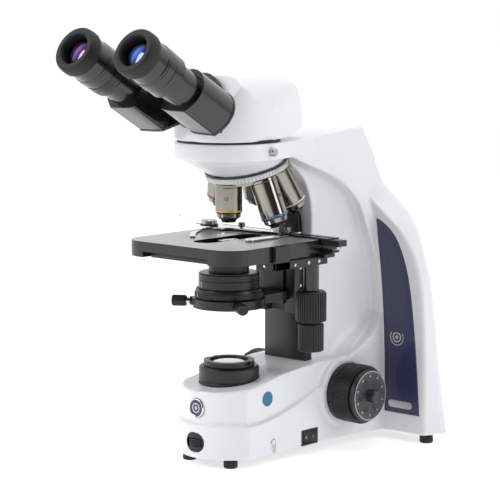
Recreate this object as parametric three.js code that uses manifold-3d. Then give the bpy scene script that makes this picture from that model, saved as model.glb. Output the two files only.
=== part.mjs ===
// Upright binocular laboratory microscope, in millimetres, +Z up.
// Inside the outer group x = y = 0 is the optical axis, z = 0 is the table,
// -Y is the user's side and +X is the user's right.
import * as THREE from 'three';
import { mergeVertices } from 'three/addons/utils/BufferGeometryUtils.js';
import Module from 'manifold-3d';

const wasm = await Module();
wasm.setup();

// ---------------------------------------------------------------- dimensions
const FIT = 0.3;                  // gap kept between neighbouring pieces
const FACETING = 0.66;            // share of the full facet count of turned pieces
const DEPTH_SHIFT = -19.1;        // moves the optical axis so that the bounding box is centred

const BASE_BOTTOM = 8;            // underside of the painted casting
const NOSE_RADIUS = 45;           // lower belt of the base around the optical axis
const DECK_RADIUS = 42;           // upper, inset part of the base nose
const DECK_HALF_WIDTH = 38.5;
const SPINE_HALF_WIDTH = 24;      // narrow middle of the arm behind the slide column
const SPINE_FRONT = 85;
const CREASE_HALF_WIDTH = 39.5;   // edge where the throat meets the outer side
const FLANGE_RADIUS = 48;
const FLANGE_BOTTOM = 271.5;
const FLANGE_TOP = 286.5;

const FOCUS_Y = 110;
const FOCUS_Z = 51;
const COARSE_RADIUS = 27;
const FINE_RADIUS = 23.8;
const COARSE_START = 44;          // distances of the focus knobs out from the middle plane
const COARSE_END = 67.9;
const FINE_END = 74;

const COLUMN_HALF_WIDTH = 24.6;
const COLUMN_FRONT = 75.5;
const COLUMN_BACK = 84.5;
const STAGE_TOP = 199.8;
const STAGE_BOTTOM = 186;
const STAGE_HALF_WIDTH = 67;
const STAGE_FRONT = -68;
const STAGE_BACK = 66;
const SLOT_HALF_WIDTH = 11.5;     // slot in the stage plate, long in the direction the plate moves
const SLOT_FRONT = -40;
const SLOT_BACK = 38;
const RAIL_TOP = 201.3;           // low guide rail on the stage plate
const DRIVE_X = 59.5;
const DRIVE_Y = 43;
const FINGER_X = -60;             // pivot of the slide holder's spring finger
const FINGER_Y = 38;

const TURRET_TILT = THREE.MathUtils.degToRad(15.5);
const TURRET_RADIUS = 37.5;
const OBJECTIVE_CIRCLE = 26;
const SHOULDER_Z = 248;

const TUBE_INCLINE = THREE.MathUtils.degToRad(30);
const HALF_IPD = 35;
const PIVOT_DROP = 16;            // tube axes below the common hinge axis
const EYE_POINT = new THREE.Vector3(0, -152.5, 371);   // centre of the eyecup face, at x = +-35
const HOUSING_START = 70;         // distances back along the tube from the eyecup face
const HOUSING_END = 114;
const HEAD_BOTTOM = 288;

// ---------------------------------------------------------------- materials
const WHITE_PAINT = { color: 0xebedef, roughness: 0.35, metalness: 0.0 };
const BLACK_SATIN = { color: 0x2c2c2f, roughness: 0.45, metalness: 0.1 };
const BLACK_PLASTIC = { color: 0x26262a, roughness: 0.55, metalness: 0.0 };
const DARK_GREY = { color: 0x45464a, roughness: 0.5, metalness: 0.0 };
const TUBE_GREY = { color: 0x4b4a4a, roughness: 0.28, metalness: 0.2 };
const NAVY = { color: 0x34395a, roughness: 0.4, metalness: 0.0 };
const RUBBER = { color: 0x1e1e20, roughness: 0.85, metalness: 0.0 };
const CHROME = { color: 0xd0d2d4, roughness: 0.12, metalness: 1.0 };
const NICKEL = { color: 0xb9b4aa, roughness: 0.25, metalness: 1.0 };
const ALUMINIUM = { color: 0xbfc1c4, roughness: 0.35, metalness: 1.0 };
const GLASS = { color: 0xcfd9e2, roughness: 0.05, metalness: 0.0 };
const WHITE_PLASTIC = { color: 0xe6e6e2, roughness: 0.4, metalness: 0.0 };

// ---------------------------------------------------------------- geometry helpers
function signedVolume(geometry) {
  const positions = geometry.attributes.position;
  const a = new THREE.Vector3();
  const b = new THREE.Vector3();
  const c = new THREE.Vector3();
  let volume = 0;
  for (let i = 0; i < positions.count; i += 3) {
    a.fromBufferAttribute(positions, i);
    b.fromBufferAttribute(positions, i + 1);
    c.fromBufferAttribute(positions, i + 2);
    volume += a.dot(b.cross(c)) / 6;
  }
  return volume;
}

// Plain triangles, welded corners, no zero-size faces, all facing out.
function clean(geometry) {
  const loose = geometry.index ? geometry.toNonIndexed() : geometry.clone();
  const flipped = signedVolume(loose) < 0;
  loose.deleteAttribute('normal');
  loose.deleteAttribute('uv');
  const welded = mergeVertices(loose, 1e-3);
  const index = welded.index.array;
  const kept = [];
  for (let i = 0; i < index.length; i += 3) {
    const [a, b, c] = [index[i], index[i + 1], index[i + 2]];
    if (a === b || b === c || c === a) {
      continue;
    }
    kept.push(a, ...(flipped ? [c, b] : [b, c]));
  }
  welded.setIndex(kept);
  return welded;
}

function toSolid(geometry) {
  const welded = clean(geometry);
  return new wasm.Manifold(new wasm.Mesh({
    numProp: 3,
    vertProperties: new Float32Array(welded.attributes.position.array),
    triVerts: new Uint32Array(welded.index.array),
  }));
}

function toGeometry(solid) {
  const mesh = solid.getMesh();
  const geometry = new THREE.BufferGeometry();
  geometry.setAttribute('position', new THREE.BufferAttribute(new Float32Array(mesh.vertProperties), 3));
  geometry.setIndex(new THREE.BufferAttribute(new Uint32Array(mesh.triVerts), 1));
  return geometry.toNonIndexed();
}

function join(...geometries) {
  return toGeometry(geometries.map(toSolid).reduce((whole, next) => whole.add(next)));
}

function cut(geometry, ...tools) {
  return toGeometry(tools.map(toSolid).reduce((whole, tool) => whole.subtract(tool), toSolid(geometry)));
}

function common(first, second) {
  return toGeometry(toSolid(first).intersect(toSolid(second)));
}

function moved(geometry, x, y, z) {
  return geometry.clone().translate(x, y, z);
}

function mirrorX(geometry) {
  return clean(geometry.clone().scale(-1, 1, 1)).toNonIndexed();
}

function shapeOf(points) {
  return new THREE.Shape(points.map(([u, v]) => new THREE.Vector2(u, v)));
}

function extrudeZ(points, z0, z1) {
  const geometry = new THREE.ExtrudeGeometry(shapeOf(points), { depth: z1 - z0, bevelEnabled: false });
  return geometry.translate(0, 0, z0);
}

// Outline given as (y, z), extruded along X.
function extrudeX(points, x0, x1) {
  const geometry = new THREE.ExtrudeGeometry(shapeOf(points), { depth: x1 - x0, bevelEnabled: false });
  const turn = new THREE.Matrix4().set(0, 0, 1, x0, 1, 0, 0, 0, 0, 1, 0, 0, 0, 0, 0, 1);
  return geometry.applyMatrix4(turn);
}

// Outline given as (x, z), extruded along Y.
function extrudeY(points, y0, y1) {
  const geometry = new THREE.ExtrudeGeometry(shapeOf(points), { depth: y1 - y0, bevelEnabled: false });
  const turn = new THREE.Matrix4().set(1, 0, 0, 0, 0, 0, 1, y0, 0, 1, 0, 0, 0, 0, 0, 1);
  return geometry.applyMatrix4(turn);
}

function box(x0, x1, y0, y1, z0, z1) {
  const geometry = new THREE.BoxGeometry(x1 - x0, y1 - y0, z1 - z0);
  return geometry.translate((x0 + x1) / 2, (y0 + y1) / 2, (z0 + z1) / 2);
}

// Closed (radius, height) profile turned about Z.
function turned(profile, segments = 28) {
  const points = profile.map(([r, z]) => new THREE.Vector2(r, z));
  return new THREE.LatheGeometry(points, Math.round(segments * FACETING)).rotateX(Math.PI / 2);
}

function rod(radius, z0, z1, segments = 28) {
  return turned([[0, z0], [radius, z0], [radius, z1], [0, z1]], segments);
}

function ring(inner, outer, z0, z1, segments = 28) {
  return turned([[inner, z0], [outer, z0], [outer, z1], [inner, z1], [inner, z0]], segments);
}

// The same pieces with their axis along +X or +Y through (y, z) or (x, z).
function alongX(geometry, y, z) {
  return geometry.clone().rotateY(Math.PI / 2).translate(0, y, z);
}

function alongY(geometry, x, z) {
  return geometry.clone().rotateX(-Math.PI / 2).translate(x, 0, z);
}

function arc(cx, cy, radius, from, to, steps) {
  const points = [];
  for (let i = 0; i <= steps; i++) {
    const angle = THREE.MathUtils.degToRad(from + (to - from) * i / steps);
    points.push([cx + radius * Math.cos(angle), cy + radius * Math.sin(angle)]);
  }
  return points;
}

// Full outline from its right half, which runs from the front centre to the back centre.
function mirrored(half) {
  const left = half.filter(([x]) => x > 1e-6).map(([x, y]) => [-x, y]).reverse();
  return [...half, ...left];
}

function roundedRectangle(x0, x1, y0, y1, frontRadius, backRadius, steps = 5) {
  return [
    ...arc(x0 + frontRadius, y0 + frontRadius, frontRadius, 180, 270, steps),
    ...arc(x1 - frontRadius, y0 + frontRadius, frontRadius, 270, 360, steps),
    ...arc(x1 - backRadius, y1 - backRadius, backRadius, 0, 90, steps),
    ...arc(x0 + backRadius, y1 - backRadius, backRadius, 90, 180, steps),
  ];
}

// Outline of a knob with ribs round its edge.
function ribbed(radius, depth, ribs) {
  const points = [];
  for (let i = 0; i < ribs * 2; i++) {
    const r = i % 2 ? radius : radius - depth;
    const angle = Math.PI * i / ribs;
    points.push([r * Math.cos(angle), r * Math.sin(angle)]);
  }
  return points;
}

// Solid through a stack of outlines with equal point counts: an extrusion of the
// first outline whose corners are then moved onto the others.
function loft(sections) {
  const steps = sections.length - 1;
  const outline = sections[0].map(([x, y]) => [x, y]);
  const geometry = new THREE.ExtrudeGeometry(shapeOf(outline), { depth: steps, steps, bevelEnabled: false });
  const positions = geometry.attributes.position;
  for (let i = 0; i < positions.count; i++) {
    const level = Math.round(positions.getZ(i));
    let nearest = 0;
    let best = Infinity;
    outline.forEach(([x, y], k) => {
      const distance = Math.hypot(x - positions.getX(i), y - positions.getY(i));
      if (distance < best) {
        best = distance;
        nearest = k;
      }
    });
    positions.setXYZ(i, ...sections[level][nearest]);
  }
  return geometry;
}

function between(a, b, t) {
  return a + (b - a) * t;
}

// ---------------------------------------------------------------- stand
// Rear cape and wings. front = outer border of the forward-facing surface,
// rear = outer rear corner, back = middle of the back.
const WING_STATIONS = [
  { z: 8, front: [98, 160], rear: [107, 184], back: 199 },
  { z: 25, front: [98, 160], rear: [105.5, 182], back: 199 },
  { z: 80, front: [98.5, 159.5], rear: [101.5, 177], back: 197 },
  { z: 122, front: [98.5, 157], rear: [100, 172], back: 195 },
  { z: 155, front: [97, 153.5], rear: [98.5, 167], back: 193 },
  { z: 173, front: [93, 151], rear: [94, 165.5], back: 191 },
  { z: 187, front: [87, 148.5], rear: [89, 166], back: 190 },
  { z: 201, front: [76.5, 146.5], rear: [82, 168], back: 188 },
  { z: 214, front: [62.5, 144], rear: [70, 170], back: 185 },
  { z: 228, front: [47, 141], rear: [55, 169], back: 181.5 },
  { z: 242, front: [39, 138], rear: [43, 164], back: 177 },
  { z: 270, front: [36.2, 133], rear: [36.2, 156], back: 164 },
  { z: 293, front: [34.7, 125], rear: [34.7, 143.5], back: 147 },
];

function wingSection({ z, front, rear, back }) {
  const half = [
    [0, front[1]],
    [front[0] - 3, front[1]],
    [front[0], front[1] + 1.5],
    [between(front[0], rear[0], 0.75), between(front[1], rear[1], 0.75)],
    [rear[0] - 1.5, rear[1] + 1],
    [rear[0] * 0.86, between(rear[1], back, 0.45)],
    [rear[0] * 0.5, between(rear[1], back, 0.86)],
    [0, back],
  ];
  return mirrored(half).map(([x, y]) => [x, y, z]);
}

function wings() {
  return loft(WING_STATIONS.map(wingSection));
}

const CREASE_LOWER = [
  [-60, 39], [-32, 38.9], [2, 38.7], [40, 47], [67, 56], [90, 66],
  [104, 77], [124, 88], [140, 98], [149, 107], [155, 121],
];
const CREASE_UPPER = [
  [154.5, 138], [148.5, 169], [136, 204], [127, 225], [110, 243], [93, 253], [67, 262], [46, 270], [24, 274], [0, 276],
];

function lowerStand() {
  const side = extrudeX([[-60, BASE_BOTTOM], ...CREASE_LOWER, [172, 150], [172, BASE_BOTTOM]], -60, 60);
  const half = [
    ...arc(0, 0, NOSE_RADIUS, -90, -24, 9),
    [41, 8], [41, 75], [43, 100], [45.5, 120], [50, 153], [50, 172], [0, 172],
  ];
  return common(side, extrudeZ(mirrored(half), 0, 160));
}

function deck() {
  const side = extrudeX([
    [-60, 12], [112, 12], [112, 82], [84, 82], [55, 80.5], [28, 78], [11, 75], [-24.5, 70], [-60, 66],
  ], -60, 60);
  const half = [...arc(0, 0, DECK_RADIUS, -90, -24, 9), [DECK_HALF_WIDTH, 8], [DECK_HALF_WIDTH, 112], [0, 112]];
  return common(side, extrudeZ(mirrored(half), 0, 100));
}

function upperArm() {
  const side = extrudeX([
    [155, 121], ...CREASE_UPPER, [0, 284], [48, 287.5], [100, 290], [143, 294], [156, 270], [165, 242],
    [172, 214], [172, 121],
  ], -60, 60);
  const plan = [
    [0, 0], [CREASE_HALF_WIDTH, 0], [38.2, 46], [38.5, 80], [40.5, 105], [45, 128], [50, 150], [50, 172], [0, 172],
  ];
  const front = [[-52, 118], [52, 118], [51, 195], [45, 228], [40.5, 250], [37.5, 275], [35, 300], [-35, 300],
    [-37.5, 275], [-40.5, 250], [-45, 228], [-51, 195]];
  return common(common(side, extrudeZ(mirrored(plan), 100, 310)), extrudeY(front, -10, 180));
}

// Flange under the head, running back into the arm.
function flange() {
  const half = [...arc(0, 0, FLANGE_RADIUS, -90, 12, 14), [43.5, 26], [39, 44], [37.5, 70], [0, 70]];
  const outer = extrudeZ(mirrored(half), FLANGE_BOTTOM, FLANGE_TOP);
  return outer;
}

const SPINE_STATIONS = [
  { z: 60, front: 85, crease: 104 },
  { z: 88, front: 85, crease: 124 },
  { z: 107, front: 85, crease: 148 },
  { z: 138, front: 85, crease: 153.5 },
  { z: 169, front: 85, crease: 147.5 },
  { z: 204, front: 85, crease: 135 },
  { z: 225, front: 84, crease: 126 },
  { z: 243, front: 78, crease: 109 },
  { z: 253, front: 70, crease: 92 },
  { z: 262, front: 58, crease: 68 },
  { z: 268, front: 46, crease: 52 },
];

const SPINE_BACK = 157;           // buried inside the arm

// Middle of the arm, with a hollow fillet on each side out to the crease.
function spine() {
  return loft(SPINE_STATIONS.map(({ z, front, crease }) => {
    const half = [[0, front]];
    const steps = 5;
    for (let i = 0; i <= steps; i++) {
      const angle = Math.PI / 2 * i / steps;
      half.push([
        between(SPINE_HALF_WIDTH, CREASE_HALF_WIDTH - 1.5, 1 - Math.cos(angle)),
        between(front, crease - 1, Math.sin(angle)),
      ]);
    }
    half.push([CREASE_HALF_WIDTH - 1.5, SPINE_BACK], [0, SPINE_BACK]);
    return mirrored(half).map(([x, y]) => [x, y, z]);
  }));
}

// Round neck between the flange and the tilted turret.
function neck() {
  const count = 24;
  const lower = [];
  const middle = [];
  const upper = [];
  const tilt = new THREE.Matrix4().makeRotationX(TURRET_TILT);
  for (let i = 0; i < count; i++) {
    const angle = 2 * Math.PI * i / count;
    const rim = new THREE.Vector3(35.5 * Math.cos(angle), 35.5 * Math.sin(angle), 9.6).applyMatrix4(tilt);
    rim.add(turretCentre());
    const top = [46.5 * Math.cos(angle), 46.5 * Math.sin(angle), FLANGE_BOTTOM + 6];
    lower.push(rim.toArray());
    middle.push([between(rim.x, top[0], 0.6), between(rim.y, top[1], 0.6), between(rim.z, top[2] - 4, 0.6)]);
    upper.push(top);
  }
  return loft([lower, middle, upper]);
}

function turretCentre() {
  return new THREE.Vector3(
    0,
    OBJECTIVE_CIRCLE * Math.cos(TURRET_TILT),
    SHOULDER_Z + OBJECTIVE_CIRCLE * Math.sin(TURRET_TILT),
  );
}

function inTurretFrame(geometry) {
  const centre = turretCentre();
  return geometry.clone().rotateX(TURRET_TILT).translate(centre.x, centre.y, centre.z);
}

// Space swept by the turret and its objectives, in the turret's own frame.
const TURRET_CLEARANCE = [[0, -46], [46.5, -46], [49, -34], [39.2, 3], [38.5, 4], [38.5, 9.3], [0, 9.3]];

function focusBoss() {
  const profile = [[0, 30], [33, 38], [32.5, 42], [31, 43.6], [0, 43.6]];
  return alongX(turned(profile, 32), FOCUS_Y, FOCUS_Z);
}

// Outer edge of the inset panel on a wing, as (height, x); its inner edge is straight.
const PANEL_EDGE = [[26, 92], [72, 88.7], [109, 86.3], [154, 83], [182, 77], [194, 71.3], [203, 63], [210, 52]];
const PANEL_INNER = 51;
const PANEL_LEVELS = [26, 80, 122, 155, 173, 187, 194, 201, 205, 209];

function interpolate(table, at) {
  const last = table.findIndex(([key]) => key >= at);
  const index = last < 0 ? table.length - 1 : Math.max(last, 1);
  const [k0, v0] = table[index - 1];
  const [k1, v1] = table[index];
  return between(v0, v1, (at - k0) / (k1 - k0));
}

// Slab that follows the raked front wall of the right wing, from depth y0 to y1 behind it.
function panelSlab(margin, y0, y1) {
  const wall = WING_STATIONS.map(({ z, front }) => [z, front[1]]);
  return loft(PANEL_LEVELS.map((level, i) => {
    const end = i === 0 ? margin : i === PANEL_LEVELS.length - 1 ? -margin : 0;
    const y = interpolate(wall, level);
    const inner = PANEL_INNER + margin;
    const outer = interpolate(PANEL_EDGE, level) - margin;
    return [[inner, y + y0], [outer, y + y0], [outer, y + y1], [inner, y + y1]].map(([px, py]) => [px, py, level + end]);
  }));
}

function sidePanel() {
  return panelSlab(FIT, -0.7, 1.7);
}

function footprint(margin) {
  const m = margin;
  return mirrored([
    ...arc(0, 0, NOSE_RADIUS - m, -90, -26, 8),
    [41 - m, 8], [41 - m, 75], [45 - m, 118], [50 - m, 156 + m], [97 - m, 161 + m], [105 - m, 182],
    [90 - m, 189 - m], [50, 196.5 - m], [0, 198.5 - m],
  ]);
}

const WHEEL_Z = 22.5;
const WHEEL_Y = -35.5;
const WHEEL_RADIUS = 11.2;
const WHEEL_HALF_THICKNESS = 3.3;

function stadiumAlongY(halfWidth, halfHeight, y0, y1) {
  const flat = halfWidth - halfHeight;
  const outline = [
    ...arc(flat, WHEEL_Z, halfHeight, -90, 90, 8),
    ...arc(-flat, WHEEL_Z, halfHeight, 90, 270, 8),
  ];
  return extrudeY(outline, y0, y1);
}

function keyhole(halfWidth, x0, x1) {
  const outline = [[13.8 - halfWidth, 0], [13.8 + halfWidth, 0], ...arc(13.8, 18.4, halfWidth, 0, 180, 8)];
  return extrudeX(outline, x0, x1);
}

function standCasting() {
  const body = join(lowerStand(), deck(), upperArm(), spine(), wings(), flange(), neck(), focusBoss(),
    mirrorX(focusBoss()));
  return cut(body,
    box(-25, 25, COLUMN_FRONT - FIT, SPINE_FRONT, 22, 110),
    box(-12.4, 12.4, 76, SPINE_FRONT + 0.2, 90, 227),
    alongX(rod(7, -70, 70, 20), FOCUS_Y, FOCUS_Z),
    alongX(rod(COARSE_RADIUS + 0.8, COARSE_START - FIT, 75, 36), FOCUS_Y, FOCUS_Z),
    mirrorX(alongX(rod(COARSE_RADIUS + 0.8, COARSE_START - FIT, 75, 36), FOCUS_Y, FOCUS_Z)),
    inTurretFrame(turned(TURRET_CLEARANCE, 36)),
    rod(14, 240, 300, 24),
    rod(26, FLANGE_TOP - 6, 300, 32),
    rod(27.3, 60, 95, 32),
    rod(14, 35, 61, 24),
    extrudeZ(footprint(4), 0, BASE_BOTTOM + 2.3),
    box(30, 60, 52, 75, 0, 22.8),
    keyhole(3.6, 38, 60),
    alongX(rod(2.7, 30, 45, 16), 13.8, 18.8),
    stadiumAlongY(10.6, 8.9, -60, -36),
    moved(rod(WHEEL_RADIUS + 0.8, WHEEL_Z - 4, WHEEL_Z + 4, 28), 0, WHEEL_Y, 0),
    alongY(rod(9.05, -60, -40.9, 24), 0, 53),
    box(-14.6, 14.6, 182, 210, 23, 45),
    alongX(rod(2.3, 36, 60, 16), 3, 279),
    panelSlab(0, -8, 2),
    mirrorX(panelSlab(0, -8, 2)),
  );
}

function basePlate() {
  return cut(extrudeZ(footprint(4.3), BASE_BOTTOM, BASE_BOTTOM + 2),
    box(29.5, 60, 51.5, 75.5, 0, 20),
    keyhole(4, 30, 60));
}

function foot() {
  return turned([[0, 0], [5.6, 0], [6.3, 0.9], [6.3, BASE_BOTTOM - FIT], [0, BASE_BOTTOM - FIT]], 20);
}

function frontBadge() {
  return alongY(turned([[0, -43.1], [7.9, -43.1], [8.75, -42.4], [8.75, -41.2], [0, -41.2]], 24), 0, 53);
}

// ---------------------------------------------------------------- base fittings
function collectorHousing() {
  return turned([
    [0, 60.3], [27, 60.3], [27, 84.6], [25.6, 86], [18, 86], [18, 82.7], [15.5, 82.7], [15.5, 63], [0, 63],
  ], 32);
}

function diaphragmRing() {
  const body = ring(17.6, 22.75, 86.3, 91, 32);
  return cut(body, box(-30, -20.6, -3.5, 3.5, 88, 95), box(20.6, 30, -3.5, 3.5, 88, 95));
}

function fieldLens() {
  return turned([[0, 83], [17.3, 83], [17.3, 88.2], [12, 89.8], [0, 90.6]], 28);
}

function brightnessBezel() {
  const plate = common(stadiumAlongY(10.3, 8.6, -60, -43), rod(NOSE_RADIUS + 0.5, 0, 40, 48));
  return cut(plate, box(-8.8, 8.8, -60, -30, WHEEL_Z - 3.6, WHEEL_Z + 3.6));
}

function brightnessWheel() {
  const outline = ribbed(WHEEL_RADIUS, 0.6, 20);
  return moved(extrudeZ(outline, WHEEL_Z - WHEEL_HALF_THICKNESS, WHEEL_Z + WHEEL_HALF_THICKNESS), 0, WHEEL_Y, 0);
}

function switchFrame() {
  return cut(box(30.3, 41.2, 52.3, 74.7, BASE_BOTTOM + 0.2, 22.5), box(31.5, 50, 54.4, 72.6, 10, 20.8));
}

function powerRocker() {
  return extrudeZ([[34.6, 56.2], [40, 56.2], [40.9, 63.5], [42.6, 70.8], [34.6, 70.8]], 10.4, 20.4);
}

function sideButton() {
  return alongX(turned([[0, 36.6], [2.35, 36.6], [2.35, 41.2], [1.9, 41.8], [0, 41.8]], 16), 13.8, 18.8);
}

function mainsInlet() {
  const shell = cut(box(-14.3, 14.3, 183, 199.9, 23.3, 44.7), box(-11.3, 11.3, 187, 205, 26.3, 41.7));
  const pins = [[-7, 32], [7, 32], [0, 37]].map(([x, z]) => box(x - 1, x + 1, 186, 197, z - 2, z + 2));
  return join(shell, ...pins);
}

function coarseKnob() {
  const collar = rod(COARSE_RADIUS - 0.6, COARSE_START, COARSE_START + 5.1, 32);
  const drum = extrudeZ(ribbed(COARSE_RADIUS, 0.7, 26), COARSE_START + 5, COARSE_END - 1.1);
  const lip = rod(COARSE_RADIUS - 0.8, COARSE_END - 1.2, COARSE_END, 32);
  return alongX(cut(join(drum, collar, lip), rod(6.3, 30, 80, 20)), FOCUS_Y, FOCUS_Z);
}

function coarseShaft() {
  const sleeve = ring(3.6, 5.9, -COARSE_END + 0.3, COARSE_END - 0.3, 20);
  const pinion = cut(extrudeZ(ribbed(5.95, 0.6, 14), -5, 5), rod(4.5, -6, 6, 20));
  return alongX(join(sleeve, pinion), FOCUS_Y, FOCUS_Z);
}

function fineKnob() {
  const disc = turned([[0, COARSE_END + FIT], [FINE_RADIUS - 0.6, COARSE_END + FIT],
    [FINE_RADIUS, COARSE_END + 1.1], [FINE_RADIUS, FINE_END - 1.4], [FINE_RADIUS - 1.2, FINE_END],
    [0, FINE_END]], 32);
  const nub = turned([[0, FINE_END - 0.5], [6, FINE_END - 0.5], [6, FINE_END + 7], [5, FINE_END + 8],
    [0, FINE_END + 8]], 20);
  const dimples = [];
  for (let i = 0; i < 6; i++) {
    const angle = Math.PI * (i + 0.5) / 3;
    dimples.push(moved(rod(4, FINE_END - 1.2, FINE_END + 3, 12), 13.5 * Math.cos(angle), 13.5 * Math.sin(angle), 0));
  }
  return cut(join(disc, nub), ...dimples);
}

function fineKnobRight() {
  return alongX(join(fineKnob(), rod(3.2, -COARSE_END, COARSE_END + 0.8, 16)), FOCUS_Y, FOCUS_Z);
}

function fineKnobLeft() {
  return mirrorX(alongX(fineKnob(), FOCUS_Y, FOCUS_Z));
}

// ---------------------------------------------------------------- stage
function guideRail() {
  const outline = [[-12, 93], [12, 93], [12, 205], ...arc(0, 205, 12, 0, 180, 8).slice(1, -1)
    .map(([x, z]) => [x, 205 + (z - 205) * 1.75]), [-12, 205]];
  return extrudeY(outline, 80.3, SPINE_FRONT - 0.1);
}

function columnSlide() {
  return cut(box(-COLUMN_HALF_WIDTH, COLUMN_HALF_WIDTH, COLUMN_FRONT, COLUMN_BACK, 46, 185.5),
    box(-12.4, 12.4, 80, 90, 90, 200));
}

function stageBracket() {
  return cut(box(-23.5, 23.5, 62, COLUMN_FRONT - FIT, 127, 185.5),
    box(-12, 12, 50, 71.4, 100, 172),
    alongX(rod(3.4, -40, -10, 16), 67, 148));
}

function stageSupport() {
  return cut(extrudeZ(roundedRectangle(-39.5, 37.5, -62, 72, 6, 2, 3), 185.8, 190.7), rod(20, 180, 195, 28));
}

function stagePlate() {
  const outline = roundedRectangle(-STAGE_HALF_WIDTH, STAGE_HALF_WIDTH, STAGE_FRONT, STAGE_BACK, 22, 4, 7);
  return cut(extrudeZ(outline, STAGE_BOTTOM, STAGE_TOP),
    box(-40, 38, -90, 90, 170, 191),
    stageSlot());
}

function stageSlot() {
  const end = SLOT_HALF_WIDTH;
  const outline = [...arc(0, SLOT_BACK - end, end, 0, 180, 12), ...arc(0, SLOT_FRONT + end, end, 180, 360, 12)];
  return extrudeZ(outline, 180, 210);
}

function guideBar() {
  const rail = cut(box(-66, 76, 47, 62, 200.1, RAIL_TOP), box(-80, 100, 52.9, 56.1, 200.6, 210));
  const end = box(67.3, 88, 47, 58, 194.8, 200.3);
  const rack = box(67.3, 84, 49, 56, 191.9, 195);
  const strip = box(67.3, 80.5, 47.5, 57, 188.8, 192);
  return join(rail, end, rack, strip);
}

function driveBracket() {
  const side = box(67.3, 71, -17, 2, 178.5, 199.4);
  const under = box(48, 71, -17, 52, 178.5, 185.7);
  const stem = moved(rod(7, 154.3, 179, 24), DRIVE_X, DRIVE_Y, 0);
  const ledge = box(67.3, 76, 42, 56, 184.5, 187.8);
  return cut(join(side, under, stem, ledge), moved(rod(2.9, 150, 163, 16), DRIVE_X, DRIVE_Y, 0));
}

function yKnob() {
  const grip = join(extrudeZ(ribbed(13.75, 0.8, 18), 127.5, 152.5), rod(12.6, 127, 154, 24));
  return moved(cut(grip, rod(2.9, 100, 170, 16)), DRIVE_X, DRIVE_Y, 0);
}

function xKnob() {
  const grip = join(extrudeZ(ribbed(11.5, 0.8, 16), 100.8, 124.2), rod(10.4, 100, 125, 24), rod(8, 124, 126.6, 20));
  return moved(join(grip, rod(2.5, 125, 162, 16)), DRIVE_X, DRIVE_Y, 0);
}

// Plate that rides on the guide rail, with its fixed arm on the right and two thumbscrews.
function slideHolder() {
  const bottom = RAIL_TOP + FIT;
  const top = bottom + 1.2;
  const tongue = box(-58, 33, 53.3, 55.7, 200.9, top);
  const plate = extrudeZ([[-64, 33], [-40, 33], [-36, 42], [33.5, 42], [33.5, 59], [-58, 59], [-64, 46]], bottom, top);
  const arm = extrudeZ([[24, -6], [26, -8], [31.5, -8], [33.5, -6], [33.5, 46.7], [24, 46.7]], 200.2, 201.4);
  const riser = box(24, 33.5, 42, 46.7, 200.2, top);
  const screws = [-26, 29.5].map((x) => moved(turned([
    [0, top - 0.3], [1.6, top - 0.3], [1.6, top + 0.8], [3.1, top + 1.4], [3.1, top + 4.8], [2.4, top + 5.6],
    [0, top + 5.6],
  ], 14), x, 45.2, 0));
  return cut(join(tongue, plate, arm, riser, ...screws), moved(rod(3.4, 190, 215, 16), FINGER_X, FINGER_Y, 0));
}

// Spring finger that presses a slide against the fixed arm, with its finger lever.
function holderFinger() {
  const pivot = turned([[0, 203.1], [8.5, 203.1], [8.5, 204.9], [7.4, 204.9], [7.4, 208], [6.8, 208.6], [0, 208.6]], 24);
  const post = rod(3, 200.1, 204, 16);
  const path = [[0, 3], [-1, -8], [5, -20], [15, -36], [27, -50], [33, -56]];
  const width = [8, 6, 5.5, 5, 5, 5];
  const outline = [...path.map(([x, y], i) => [x - width[i] / 2, y - width[i] / 3]),
    ...path.map(([x, y], i) => [x + width[i] / 2, y + width[i] / 3]).reverse()];
  const finger = extrudeZ(outline, 200.1, 201.2);
  const lever = box(-15, 0, -3, -1, 203.2, 204.7);
  const raised = moved(box(-19.5, 1, -1, 1, -0.7, 0.8).rotateY(THREE.MathUtils.degToRad(17)), -14.5, -2, 204);
  const tab = box(-36.5, -32.5, -4.5, 0.5, 209, 210.4);
  return moved(join(pivot, post, finger, lever, raised, tab), FINGER_X, FINGER_Y, 0);
}

// ---------------------------------------------------------------- condenser
function condenserCarrier() {
  const hoop = ring(29.5, 32.5, 139, 147, 32);
  const arms = [box(-16, -11, 29, 60, 139, 147), box(11, 16, 29, 60, 139, 147)];
  const bridge = box(-16, 16, 55, 61, 139, 147);
  const slider = box(-11.5, 11.5, 60, 71, 135, 168);
  const seat = ring(20.3, 24.5, 139, 140.6, 28);
  const spokes = [box(-2.5, 2.5, -31, -22, 139, 140.6), box(-31, -22, -2.5, 2.5, 139, 140.6),
    box(22, 31, -2.5, 2.5, 139, 140.6), box(-2.5, 2.5, 22, 57, 139, 140.6)];
  const sockets = [-1, 1].map((side) => screwGeometry(side, rod(4, 30.5, 35, 16)));
  const holes = [-1, 1].map((side) => screwGeometry(side, rod(2.4, 25, 40, 16)));
  return cut(join(hoop, ...arms, bridge, slider, seat, ...spokes, ...sockets), ...holes);
}

// Places a piece whose own +Z points outwards onto the centring screw axis of one side.
function screwGeometry(side, geometry) {
  const angle = THREE.MathUtils.degToRad(-90 + side * 57);
  return geometry.clone().rotateY(Math.PI / 2).rotateZ(angle).translate(0, 0, 143);
}

function condenserBody() {
  return turned([
    [0, 139.5], [20, 139.5], [20, 140.9], [22, 140.9], [22, 147.4], [24, 147.4], [24, 156.3], [27, 156.3],
    [27, 169], [26.2, 170], [18, 170], [18, 185.5], [13, 190], [9.7, 190], [9.7, 198.4], [7.4, 198.4],
    [7.4, 196], [0, 196],
  ], 32);
}

function condenserLens() {
  return turned([[0, 196.3], [7.1, 196.3], [7.1, 198.2], [4, 198.9], [0, 199.1]], 20);
}

function apertureRing() {
  return cut(join(extrudeZ(ribbed(30.7, 0.6, 30), 148.6, 152.6), rod(29.4, 148, 156, 36)),
    rod(24.3, 140, 160, 32));
}

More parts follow.
